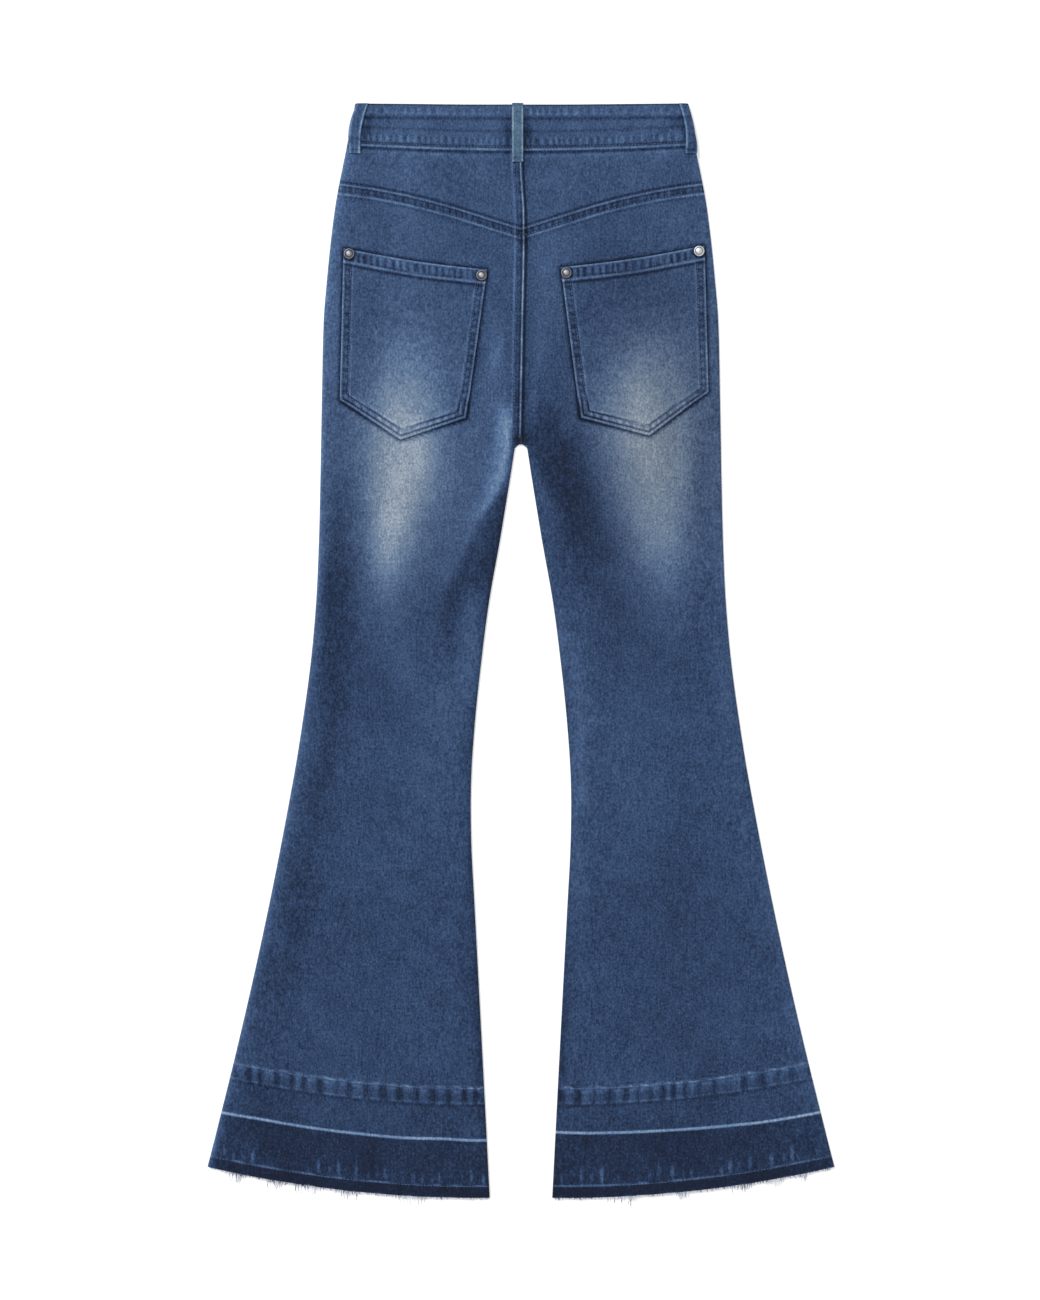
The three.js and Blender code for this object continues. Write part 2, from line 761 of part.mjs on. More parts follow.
// The front loops lie under the waistband, flat on the table
function frontLoop(side) {
  const ends = [FRONT_LOOP.half - LOOP.width / 2, FRONT_LOOP.half + LOOP.width / 2];
  const outer = [];
  const inner = [];
  for (const v of [0, 0.2, 0.5, 0.8, 1]) {
    const drop = FRONT_LOOP.top + (LOOP.length - FRONT_LOOP.shorter) * v;
    const slack = FRONT_LOOP.slack * (1 - Math.sin(Math.PI * v) ** 0.5);
    const row = (z) => ends.map((x) => new THREE.Vector3(side * x, yAt(drop), z));
    outer.push(row(slack));
    inner.push(row(slack + CLOTH));
  }
  return wall(outer, inner);
}

function button() {
  const profile = [
    new THREE.Vector2(0, 0),
    new THREE.Vector2(BUTTON.radius - 1, 0),
    new THREE.Vector2(BUTTON.radius, 0.6),
    new THREE.Vector2(BUTTON.radius, 1.2),
    new THREE.Vector2(BUTTON.radius - 2.5, BUTTON.height),
    new THREE.Vector2(0, BUTTON.height),
  ];
  return new THREE.LatheGeometry(profile, BUTTON.sides).rotateX(Math.PI / 2);
}

// The same thread lengths each time, few of them long
function threadLength(i) {
  const spread = Math.abs(Math.sin(i * 12.9898) * 43758.5453) % 1;
  return lerp(FRAY.shortest, FRAY.longest, spread ** 3);
}

function toManifold(geometry) {
  const bare = geometry.index ? geometry.toNonIndexed() : geometry.clone();
  bare.deleteAttribute("normal");
  bare.deleteAttribute("uv");
  const merged = mergeVertices(bare, 1e-4);
  return new wasm.Manifold(
    new wasm.Mesh({
      numProp: 3,
      vertProperties: merged.attributes.position.array,
      triVerts: new Uint32Array(merged.index.array),
    }),
  );
}

function fromManifold(solid) {
  const mesh = solid.getMesh();
  const geometry = new THREE.BufferGeometry();
  geometry.setAttribute("position", new THREE.BufferAttribute(mesh.vertProperties, 3));
  geometry.setIndex(new THREE.BufferAttribute(mesh.triVerts, 1));
  return geometry;
}

// The height of the middle of the back layer at a hem's raw edge
const rawHeight = (x) => lipped(x, rawEdge(x)) - CLOTH / 2;

// A narrow strip along a hem's raw edge, between two distances from the middle line
function frayStrip(side, start, end) {
  const outer = [];
  const inner = [];
  for (const down of [SEAM_GAP, SEAM_GAP + FRAY.strip]) {
    const spots = [];
    for (let i = 0; i <= FRAY.steps; i += 1) spots.push(lerp(start, end, i / FRAY.steps));
    const row = (off) =>
      spots.map((half) => {
        const drop = Math.min(rawEdge(half) + down, LENGTH);
        return new THREE.Vector3(side * half, yAt(drop), rawHeight(side * half) + off);
      });
    outer.push(row(FRAY.thick / 2));
    inner.push(row(-FRAY.thick / 2));
  }
  return wall(outer, inner);
}

// One loose thread, a thin taper from the strip down to its tip
function strand(from, to) {
  const run = to.clone().sub(from);
  const shape = new THREE.CylinderGeometry(FRAY.tip / 2, FRAY.root / 2, run.length(), 3);
  shape.translate(0, run.length() / 2, 0);
  const turnTo = new THREE.Quaternion();
  turnTo.setFromUnitVectors(new THREE.Vector3(0, 1, 0), run.normalize());
  shape.applyQuaternion(turnTo);
  return shape.translate(from.x, from.y, from.z);
}

// The frayed edge of a hem: the strip, and the threads that hang from it
function fray(side) {
  const start = innerHalf(HEM.drop) + 2;
  const end = outerHalf(rawEdge(320)) - 5;
  let solid = toManifold(frayStrip(side, start, end));
  for (let i = 0; i < FRAY.strands; i += 1) {
    const half = lerp(start + 3, end - 3, (i + 0.5) / FRAY.strands);
    const edge = rawEdge(half) + SEAM_GAP;
    const root = edge + 0.4;
    const tip = Math.min(edge + threadLength(i + 7 * side), LENGTH);
    const lean = FRAY.lean * Math.sin(i * 2.4) * (tip - root);
    const from = new THREE.Vector3(side * half, yAt(root), rawHeight(side * half));
    const to = new THREE.Vector3(from.x + lean, yAt(tip), FRAY.sunk);
    if (tip - root < FRAY.hang) to.z = from.z - FRAY.tip;
    solid = solid.add(toManifold(strand(from, to)));
  }
  return fromManifold(solid);
}

// Finishes, as plain colours
const finish = (color, roughness, metalness) =>
  new THREE.MeshStandardMaterial({ color, roughness, metalness });
const DENIM = finish("#394e70", 0.9, 0);
const DARK_DENIM = finish("#243250", 0.9, 0);
const LOOP_DENIM = finish("#4f6b8d", 0.9, 0);
const THREADS = finish("#7f8ea5", 0.95, 0);
const OLD_SILVER = finish("#a9a69a", 0.4, 0.9);
const ZIP_TAPE = finish("#2a3448", 0.8, 0);

const jeans = new THREE.Group();
jeans.name = "flared_jeans";

function add(name, geometry, material) {
  const mesh = new THREE.Mesh(geometry, material);
  mesh.name = name;
  jeans.add(mesh);
  return mesh;
}

for (const [word, side] of [
  ["left", -1],
  ["right", 1],
]) {
  add(`yoke_${word}`, yoke(side), DENIM);
  add(`back_leg_${word}`, backLeg(side), DENIM);
  add(`hem_back_${word}`, hemStrip(side), DARK_DENIM);
  add(`front_leg_${word}`, frontLeg(side), DENIM);
  add(`front_pocket_facing_${word}`, pocketFacing(side), DENIM);
  add(`hem_front_${word}`, hemFront(side), DARK_DENIM);
  add(`waistband_front_${word}`, waistbandFront(side), DENIM);
  add(`back_pocket_${word}`, backPocket(side), DENIM);
  add(`belt_loop_front_${word}`, frontLoop(side), LOOP_DENIM);
  add(`hem_fray_${word}`, fray(side), THREADS);
  placeRivet(add(`rivet_${word}_outer`, rivet(), OLD_SILVER), side, false);
  placeRivet(add(`rivet_${word}_inner`, rivet(), OLD_SILVER), side, true);
}
add("waistband_back", waistbandBack(), DENIM);
add("belt_loop_side_left", sideLoop(-1, SIDE_LOOPS.left), LOOP_DENIM);
add("belt_loop_side_right", sideLoop(1, SIDE_LOOPS.right), LOOP_DENIM);
add("belt_loop_centre", centreLoop(), LOOP_DENIM);
add("fly", fly(), DENIM);
add("zip", zip(), ZIP_TAPE);
add("button", button(), OLD_SILVER).position.set(-BUTTON.half, yAt(BUTTON.drop), 0);

export default jeans;
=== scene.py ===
"""Women's flared jeans, laid flat with the back side up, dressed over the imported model.

Lengths are in millimetres until a mesh is made. A drop is the distance below the waistband's top
corners, a half the distance from the middle line, and a side is -1 for the wearer's left leg and
+1 for the right one. A tone is the lightness of the denim, from 0 to 1.
"""
import bpy
import numpy as np
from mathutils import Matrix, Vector


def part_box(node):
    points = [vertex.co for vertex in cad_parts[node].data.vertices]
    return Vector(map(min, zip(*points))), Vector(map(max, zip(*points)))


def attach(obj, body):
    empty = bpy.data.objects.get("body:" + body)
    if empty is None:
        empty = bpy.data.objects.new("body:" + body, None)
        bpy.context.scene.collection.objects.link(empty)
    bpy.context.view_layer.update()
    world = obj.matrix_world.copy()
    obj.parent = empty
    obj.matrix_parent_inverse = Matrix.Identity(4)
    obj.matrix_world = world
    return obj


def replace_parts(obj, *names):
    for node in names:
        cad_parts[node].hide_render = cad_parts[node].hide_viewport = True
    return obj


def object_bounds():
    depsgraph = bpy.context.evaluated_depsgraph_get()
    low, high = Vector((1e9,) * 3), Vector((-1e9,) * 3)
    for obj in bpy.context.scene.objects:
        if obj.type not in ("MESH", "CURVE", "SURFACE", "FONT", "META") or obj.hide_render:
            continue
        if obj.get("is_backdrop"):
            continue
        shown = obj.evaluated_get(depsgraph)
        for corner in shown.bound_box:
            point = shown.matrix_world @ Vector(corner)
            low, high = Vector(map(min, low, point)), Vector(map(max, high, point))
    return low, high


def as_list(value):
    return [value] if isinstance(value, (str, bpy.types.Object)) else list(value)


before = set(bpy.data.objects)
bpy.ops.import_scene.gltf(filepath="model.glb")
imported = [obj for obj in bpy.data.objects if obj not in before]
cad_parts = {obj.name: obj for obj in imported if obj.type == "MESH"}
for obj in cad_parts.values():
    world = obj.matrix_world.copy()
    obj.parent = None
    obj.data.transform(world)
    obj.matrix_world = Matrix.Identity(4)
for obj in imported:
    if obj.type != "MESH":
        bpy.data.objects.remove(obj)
cad_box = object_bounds()

MM = 0.001
BODY = "root"
LEFT, RIGHT = -1, 1
WORD = {LEFT: "left", RIGHT: "right"}

# The camera looks straight down at the photo's frame
FRAME_HEIGHT = 1.336
FRAME_CENTRE = (-0.001, 0.0019)
LENS = 85
SENSOR = 36

# Cloth and seams
TOP_Y = 562.5
CLOTH = 1.2
BAND_CLOTH = 2.0
GAP = 0.3
SEWN = 0.03
EDGE_HEIGHT = 4.0
CROWN = 1.8
CROWN_REACH = 40.0
WAIST_LIFT = 2.4
LIFT_LENGTH = 90.0
FOLD_REACH = 3.0
FOLD_ARC = 5.0
LIP_REACH = 3.0
FLAP = 15.0
HEM_STRIP = 113.0
FELL = 9.5
CROTCH_DROP = 349.5
CROTCH_HALF = 6.2
CROTCH_ROUND = 2.5

# The laid outline: outer side, inner edge below the crotch, and centre back seam, as (drop, half)
OUTER = [
    (0, 170), (49, 179.7), (98, 189.5), (140, 195.2), (181, 199.3), (222, 202.6), (304, 204.5),
    (387, 206), (448, 207.5), (510, 210.3), (572, 215.8), (634, 224.2), (696, 234.3), (819, 258),
    (943, 285.3), (1067, 315.7), (1125, 331),
]
INNER = [
    (352, 6.2), (387, 11.6), (448, 21.6), (510, 32.6), (572, 40.7), (634, 47.2), (696, 51.2),
    (758, 51), (819, 47.9), (881, 44.6), (1005, 38.1), (1125, 32),
]
CENTRE_BACK = [(0, 0), (61, 0.6), (122, 3.8), (237, 2), (348, 0)]

# Soft folds of the lying cloth, as (x, drop, x, drop, width, height)
FOLDS = [
    (-12, 350, -88, 505, 15, 1.5),
    (-28, 400, -62, 520, 12, -1.2),
    (14, 352, 70, 470, 16, -1.3),
    (60, 380, 120, 560, 20, 0.8),
    (-125, 480, -128, 620, 22, 0.9),
    (-190, 380, -196, 620, 14, -0.8),
    (190, 300, 196, 560, 15, -0.7),
    (-225, 760, -262, 960, 18, -0.8),
    (205, 740, 225, 960, 24, 0.8),
    (-86, 610, -80, 800, 16, 0.6),
    (62, 600, 60, 820, 9, 0.6),
    (28, 150, 36, 330, 12, 0.5),
    (122, 1064, 141, 1104, 3.2, 0.8),
    (-150, 1070, -152, 1100, 3, -0.5),
]

# Tone down the garment, away from seams, as (drop, tone)
WASH = [
    (0, 0.315), (36, 0.295), (100, 0.282), (200, 0.278), (300, 0.287), (390, 0.29), (440, 0.28),
    (500, 0.25), (560, 0.239), (640, 0.249), (720, 0.254), (800, 0.243), (870, 0.234),
    (960, 0.234), (1006, 0.233), (1020, 0.219), (1125, 0.216),
]
RAW_TONE = 0.165  # the strip that the old hem kept from fading

# Worn places, and painted light and shade on folds, along edges and beside what stands on the cloth, as (x,
# drop, reach across, reach along, lean, tone)
WEAR_LIGHT_AND_SHADE = [
    (-122, 345, 42, 95, 0, 0.28),
    (-136, 447, 20, 60, -0.1, 0.21),
    (128, 300, 40, 75, 0.05, 0.19),
    (140, 425, 30, 75, 0.1, 0.185),
    (52, 400, 34, 120, 0.33, -0.135),
    (19, 392, 4, 28, 0.28, 0.05),
    (98, 330, 28, 62, 0, 0.065),
    (90, 482, 22, 30, 0, 0.05),
    (165, 350, 11, 70, 0, 0.07),
    (190, 280, 8, 40, 0, 0.03),
    (100, 560, 60, 110, 0, 0.018),
    (-104, 368, 14, 40, 0, 0.05),
    (-52, 455, 18, 40, -0.4, 0.045),
    (-52, 532, 14, 30, 0, 0.06),
    (-80, 622, 14, 40, 0, 0.04),
    (-42, 43, 14, 9, 0, 0.05),
    (20, 258, 9, 42, -0.05, 0.06),
    (12, 306, 5, 22, 0, 0.05),
    (-26, 262, 5, 26, -0.32, 0.05),
    (-26, 226, 12, 20, 0, -0.02),
    (-43, 255, 8, 32, -0.2, -0.035),
    (-14, 332, 4, 24, -0.05, 0.07),
    (-46, 508, 14, 30, -0.35, 0.04),
    (-190, 190, 10, 120, 0, 0.035),
    (-158, 278, 20, 48, 0, -0.035),
    (-209, 500, 7, 110, -0.03, 0.05),
    (128, 228, 24, 34, 0, -0.03),
    (122, 314, 14, 40, 0, 0.035),
    (102, 398, 14, 42, 0, 0.025),
    (204, 255, 6, 26, 0, -0.035),
    (206, 590, 8, 60, 0.1, 0.035),
    (130, 680, 60, 60, 0, 0.01),
    (43, 955, 5, 60, -0.05, -0.05),
    (-45, 960, 6, 60, 0.05, -0.04),
    (162, 20, 18, 10, 0, -0.03),
    (-193, 480, 22, 160, -0.03, -0.08),
    (-124, 548, 15, 70, 0.05, 0.03),
    (-94, 672, 20, 115, 0.12, 0.02),
    (-50, 575, 14, 60, -0.2, 0.05),
    (-205, 700, 14, 90, -0.2, -0.035),
    (-196, 386, 8, 22, 0, 0.025),
    (-140, 950, 90, 60, 0, 0.01),
    (-235, 850, 25, 110, -0.22, -0.03),
    (59, 684, 9, 150, 0, 0.05),
    (42, 545, 9, 50, 0.2, 0.05),
    (209, 490, 9, 120, 0.08, 0.035),
    (160, 800, 30, 90, 0, -0.025),
    (95, 235, 50, 90, 0, -0.04),
    (28, 152, 18, 48, 0.05, 0.04),
    (-30, 240, 22, 60, 0, 0.02),
    (-118, 80, 22, 60, 0, 0.03),
    (112, 188, 46, 36, 0, -0.02),
    (3, 137, 5, 13, 0, -0.13),
    (-1, 344, 8, 6, 0, -0.17),
    (6, 36, 5, 24, 0, -0.13),
    (-13, 36, 4.5, 22, 0, -0.11),
    (-157, 25, 4, 30, -0.15, -0.09),
    (168, 25, 4, 30, 0.1, -0.08),
    (195, 1008, 20, 30, 0, -0.02),
    (-268, 1028, 26, 34, 0, -0.02),
]

# The ridge that catches the light down the left inner thigh, as (drop, x)
THIGH_RIDGE = [
    (200, -24), (250, -21), (290, -19), (320, -15.5), (347, -14.5), (370, -17.5), (392, -24), (407, -32),
    (424, -44), (445, -56), (475, -70), (505, -82), (600, -92),
]

# Places where the wash went through to the grey core of the yarn, as (x, drop, across, along, share)
GREYED = [(-125, 385, 58, 130, 0.7), (138, 345, 75, 150, 1.0)]

# Corners of the back pockets, as (half, drop): outer top, inner top, inner foot, point, outer foot
POCKETS = {
    LEFT: [(182.1, 148.2), (34.4, 170.4), (55.9, 322.9), (123.6, 345.6), (186, 304.4)],
    RIGHT: [(188.5, 145.5), (40.5, 167.9), (61, 322.9), (131.8, 341.4), (192.6, 295.9)],
}
POCKET_SAG = 2.5
POCKET_HEM = 14.5
POCKET_HEM_HEIGHT = 0.5
POCKET_GAP = 0.5
RIVET_RADIUS = 5.3

BAND_STAND = 0.8
LOOP_WIDTH = 11.7
LOOP_LENGTH = 60.0
SIDE_LOOP_LENGTH = 51.0
LOOP_CLOTH = 1.4
LOOP_STAND = 1.4
LOOP_CLEAR = 0.5
LOOP_TOP = 0.3
LOOP_CENTRE = -3.4
FRONT_LOOP_HALF = 92.0

# Stretches of each hem, from and to a half, where long yarns hang
YARN_CLUMPS = {
    LEFT: [(284, 299), (246, 262), (206, 230), (170, 190), (100, 128)],
    RIGHT: [(286, 294), (252, 270), (216, 236), (160, 172), (88, 120)],
}

# Pieces of the front, which lies on the table
BAND_LAP = 12.0
FLY_WIDTH = 38.0
FLY_STRAIGHT = 165.0
FLY_END = 205.0
SCOOP_HALF = 100.0
SCOOP_DEPTH = 90.0
SCOOP_TOP = 47.2
SCOOP_POWER = 2.2
SCOOP_CLEAR = 0.6

# Worn places of the front, as (half, drop, reach across, reach along, tone)
WORN_FRONT = [(112, 330, 46, 150, 0.19), (118, 620, 34, 90, 0.07), (34, 240, 20, 60, 0.05)]


def lerp(a, b, t):
    return a + (b - a) * t


def smoothstep(start, end, value):
    t = np.clip((value - start) / (end - start), 0, 1)
    return t * t * (3 - 2 * t)


def line(distance, at, width):
    """A soft line, 1 at its middle."""
    return np.exp(-(((distance - at) / width) ** 2))


def strip(distance, start, end, edge):
    """1 between two distances, with soft edges inside them."""
    return smoothstep(start, start + edge, distance) * (1 - smoothstep(end - edge, end, distance))


def read(table, drop):
    """A smooth curve through a table's rows."""
    drops, halves = np.array(table, float).T
    drop = np.asarray(drop, float)
    slopes = (np.append(halves[1:], halves[-1]) - np.append(halves[0], halves[:-1])) / (
        np.append(drops[1:], drops[-1]) - np.append(drops[0], drops[:-1])
    )
    i = np.clip(np.searchsorted(drops[1:], drop), 0, len(drops) - 2)
    span = drops[i + 1] - drops[i]
    t = np.clip((drop - drops[i]) / span, 0, 1)
    bend = t * t * (3 - 2 * t)
    slope = (1 - t) * slopes[i] - t * slopes[i + 1]
    return lerp(halves[i], halves[i + 1], bend) + span * t * (1 - t) * slope


def uneven(along, pitch, seed, ropes=False):
    """Smooth uneven values from -1 to 1 along a seam, or its hills and hollows in turn."""
    rng = np.random.default_rng(seed)
    count = int(3600 / pitch)
    knots = np.cumsum(rng.uniform(0.3, 0.7, count) * pitch) - 420
    values = rng.uniform(-1, 1, count)
    if ropes:
        values = rng.uniform(0.25, 1, count) * (-1.0) ** np.arange(count)
    i = np.clip(np.searchsorted(knots, along) - 1, 0, count - 2)
    t = smoothstep(knots[i], knots[i + 1], along)
    return lerp(values[i], values[i + 1], t)


def clouds(x, drop, size, seed):
    """Soft unevenness over an area, from about -1 to 1."""
    rng = np.random.default_rng(seed)
    total = 0
    for _ in range(7):
        angle, phase = rng.uniform(0, 2 * np.pi, 2)
        turn = 2 * np.pi / (size * rng.uniform(0.7, 1.6))
        total = total + np.sin(turn * (x * np.cos(angle) + drop * np.sin(angle)) + phase)
    return total / 3.5


# Outline and seam lines of the garment


def outer_half(drop):
    return read(OUTER, drop)


def inner_half(drop):
    below = (drop - CROTCH_DROP) / CROTCH_ROUND
    bridge = CROTCH_HALF * np.cbrt(np.clip(1 - (1 - below) ** 3, 0, None))
    return np.where(below >= 1, read(INNER, drop), bridge)


def back_inner(side, drop):
    seam = side * read(CENTRE_BACK, drop) + SEWN
    return np.where(drop < CROTCH_DROP, seam, np.maximum(SEWN, inner_half(drop)))


def front_inner(side, drop):
    return np.where(drop < CROTCH_DROP, GAP / 2, np.maximum(GAP / 2, inner_half(drop)))


def top_edge(x):
    return 1.5 * (1 - (x / 170) ** 2)


def waist_seam(x):
    return 49.2 - 6 * (x / 178) ** 2


def yoke_seam(x):
    beyond = np.clip(np.abs(x) - 60, 0, None)
    return 127.7 - 0.314 * np.abs(x) + 8e-4 * beyond**2


def raw_edge(x):
    beyond = np.clip(np.abs(x) - 37, 0, None)
    return 1123 - 3.92e-4 * beyond**2


def hem_seam(x):
    return raw_edge(x) - HEM_STRIP


def below(seam, by):
    return lambda x: seam(x) + by


def inner_distance(x, drop):
    half = np.abs(x)
    above = np.hypot(np.clip(half - CROTCH_HALF, 0, None), CROTCH_DROP - drop)
    reach = np.maximum(inner_half(drop), np.minimum(half, CROTCH_HALF))
    return np.where(drop < CROTCH_DROP, above, np.clip(half - reach, 0, None))


def lift(drop):
    return WAIST_LIFT * (1 - smoothstep(43.2, 43.2 + LIFT_LENGTH, drop))


# Form of the back layer


def folds(x, drop):
    total = 0
    for x0, drop0, x1, drop1, width, height in FOLDS:
        run = np.array([x1 - x0, drop1 - drop0], float)
        t = np.clip(((x - x0) * run[0] + (drop - drop0) * run[1]) / (run @ run), 0, 1)
        off = np.hypot(x - x0 - t * run[0], drop - drop0 - t * run[1]) / width
        total = total + height * np.exp(-off * off) * np.sin(np.pi * lerp(0.12, 0.88, t))
    return total


def upper(x, drop):
    """Top of the back layer before it turns down at its edges."""
    distance = np.clip(np.minimum(outer_half(drop) - np.abs(x), inner_distance(x, drop)), 0, None)
    away = 1 - np.exp(-distance / CROWN_REACH)
    soft = 0.3 * clouds(x, drop, 75, 3) + 0.12 * clouds(x, drop, 26, 4)
    return lift(drop) + EDGE_HEIGHT + CROWN * away + (folds(x, drop) + soft) * away


def lipped(x, drop):
    lip = lift(drop) + 2 * CLOTH + GAP
    near = np.minimum(1, inner_distance(x, drop) / LIP_REACH)
    return lip + (upper(x, drop) - lip) * np.sqrt(1 - (1 - near) ** 2)


def old_fold_height(x):
    """How far the pale line of the old fold lies above the raw edge."""
    right = np.asarray(x) > 0
    flat = np.where(right, lerp(67.6, 58.6, np.clip((x - 38) / 285, 0, 1)), 59.5)
    return flat + np.where(right, 0.5, 1) * uneven(x, 90, 21)


def seams(x, drop):
    """Distances to the seam lines, growing downwards, to the right or into the cloth."""
    return {
        "waist": drop - waist_seam(x),
        "yoke": (drop - yoke_seam(x)) * 0.96,
        "hem": drop - hem_seam(x),
        "raw": raw_edge(x) - drop,
        "old_fold": raw_edge(x) - drop - old_fold_height(x),
        "centre": x - read(CENTRE_BACK, drop),
        "seat": 1 - smoothstep(CROTCH_DROP - 12, CROTCH_DROP - 2, drop),
        "leg": smoothstep(CROTCH_DROP - 2, CROTCH_DROP + 14, drop),
        "inner": inner_distance(x, drop),
    }


def relief(x, drop):
    """Seams, puckers and pressed lines that stand out of the back layer."""
    at = seams(x, drop)
    yoke = strip(at["yoke"], 0, FELL, 0.9) * (0.85 + 0.4 * uneven(x, 11, 31, True))
    yoke -= 0.35 * (line(at["yoke"], 1.9, 0.7) + line(at["yoke"], 7.9, 0.7))
    centre = strip(-at["centre"], 0, FELL, 0.9) * (0.8 + 0.25 * uneven(drop, 16, 32, True))
    centre -= 0.3 * (line(-at["centre"], 1.9, 0.7) + line(-at["centre"], 7.6, 0.7))
    hem = strip(at["hem"], 0.5, 16, 4) * (0.35 + 0.95 * uneven(x, 15, 33, True))
    hem -= 0.55 * (line(at["hem"], 0.6, 1.1) + 0.7 * line(at["hem"], 15.8, 1.1))
    bottom = 0.75 * uneven(x, 17, 34, True) * strip(at["raw"], 11, 38, 12)
    bottom -= 0.6 * line(at["raw"], 11.5, 1)
    bottom += 0.5 * line(at["raw"], 0, 6) * uneven(x, 26, 35)
    old_fold = 0.5 * line(at["old_fold"], 0, 1.8)
    waist = 0.5 * uneven(x, 15, 37, True) * strip(at["waist"], -2, 14, 6)
    return yoke + centre * at["seat"] + hem + bottom + old_fold + waist


def cloth_top(x, drop):
    """Top of the back layer with everything that stands out of it."""
    calm = smoothstep(0, LIP_REACH, inner_distance(x, drop))
    return lipped(x, drop) + relief(x, drop) * calm


def segment_distance(x, drop, start, end):
    run = np.array(end, float) - np.array(start, float)
    t = np.clip(((x - start[0]) * run[0] + (drop - start[1]) * run[1]) / (run @ run), 0, 1)
    return np.hypot(x - start[0] - t * run[0], drop - start[1] - t * run[1])


def pocket_edges(side, half, drop):
    """Distances to a back pocket's top edge and to its other edges."""
    corners = POCKETS[side]
    across = np.clip((corners[0][0] - half) / (corners[0][0] - corners[1][0]), 0, 1)
    sag = POCKET_SAG * np.sin(np.pi * across)
    top = segment_distance(half, drop - sag, corners[0], corners[1])
    rest = [segment_distance(half, drop, corners[i], corners[(i + 1) % 5]) for i in (1, 2, 3, 4)]
    return top, np.minimum.reduce(rest)


def wash(x, drop):
    """Tone of the cloth away from seams: its wash and worn places, with painted light and shade on folds, along
    edges and beside what stands on it.
    """
    total = read(WASH, drop) + 0.008 * clouds(x, drop, 90, 5) + 0.006 * clouds(x, drop, 30, 6)
    for x0, drop0, across, along, lean, amount in WEAR_LIGHT_AND_SHADE:
        off = ((x - x0 - lean * (drop - drop0)) / across) ** 2 + ((drop - drop0) / along) ** 2
        total = total + amount * np.exp(-off)
    # Painted highlight along the thigh ridge, and painted shade on the fold to its right on the left leg.
    off = x - read(THIGH_RIDGE, drop)
    lit = (0.22 * smoothstep(200, 250, drop) + 0.78 * smoothstep(290, 335, drop)) * (
        1 - smoothstep(380, 455, drop)
    )
    total = total + 0.17 * lit * np.exp(-((off / np.where(off > 0, 4.5, 13)) ** 2))
    dark = smoothstep(380, 410, drop) * (1 - smoothstep(475, 575, drop)) * (np.asarray(x) < 0)
    return total - 0.1 * dark * smoothstep(0, 12, off)


def greying(x, drop):
    """How far the cloth has turned grey, from 0 to 1."""
    total = 0
    for x0, drop0, across, along, share in GREYED:
        total = total + share * np.exp(-(((x - x0) / across) ** 2) - ((drop - drop0) / along) ** 2)
    return np.clip(total, 0, 1)


def worn_ropes(x, pitch, seed, light, dark, crisp=2.2):
    """Light hills and dark hollows of a puckered seam, as tones."""
    ropes = np.tanh(crisp * uneven(x, pitch, seed, True))
    return np.where(ropes > 0, light, dark) * ropes


def rims(x, drop):
    """Light that the rolled outer sides catch."""
    outer = np.clip(outer_half(drop) - np.abs(x), 0, None)
    left = 0.07 * np.exp(-outer / 8) + 0.08 * np.exp(-outer / 2.5)
    left = left + 0.14 * np.exp(-outer / 4) * smoothstep(1030, 1060, drop)
    right = 0.05 * np.exp(-outer / 12) * smoothstep(650, 850, drop)
    right = right + 0.03 * np.exp(-outer / 8) * (1 - smoothstep(230, 330, drop))
    return np.where(np.asarray(x) < 0, left, right)


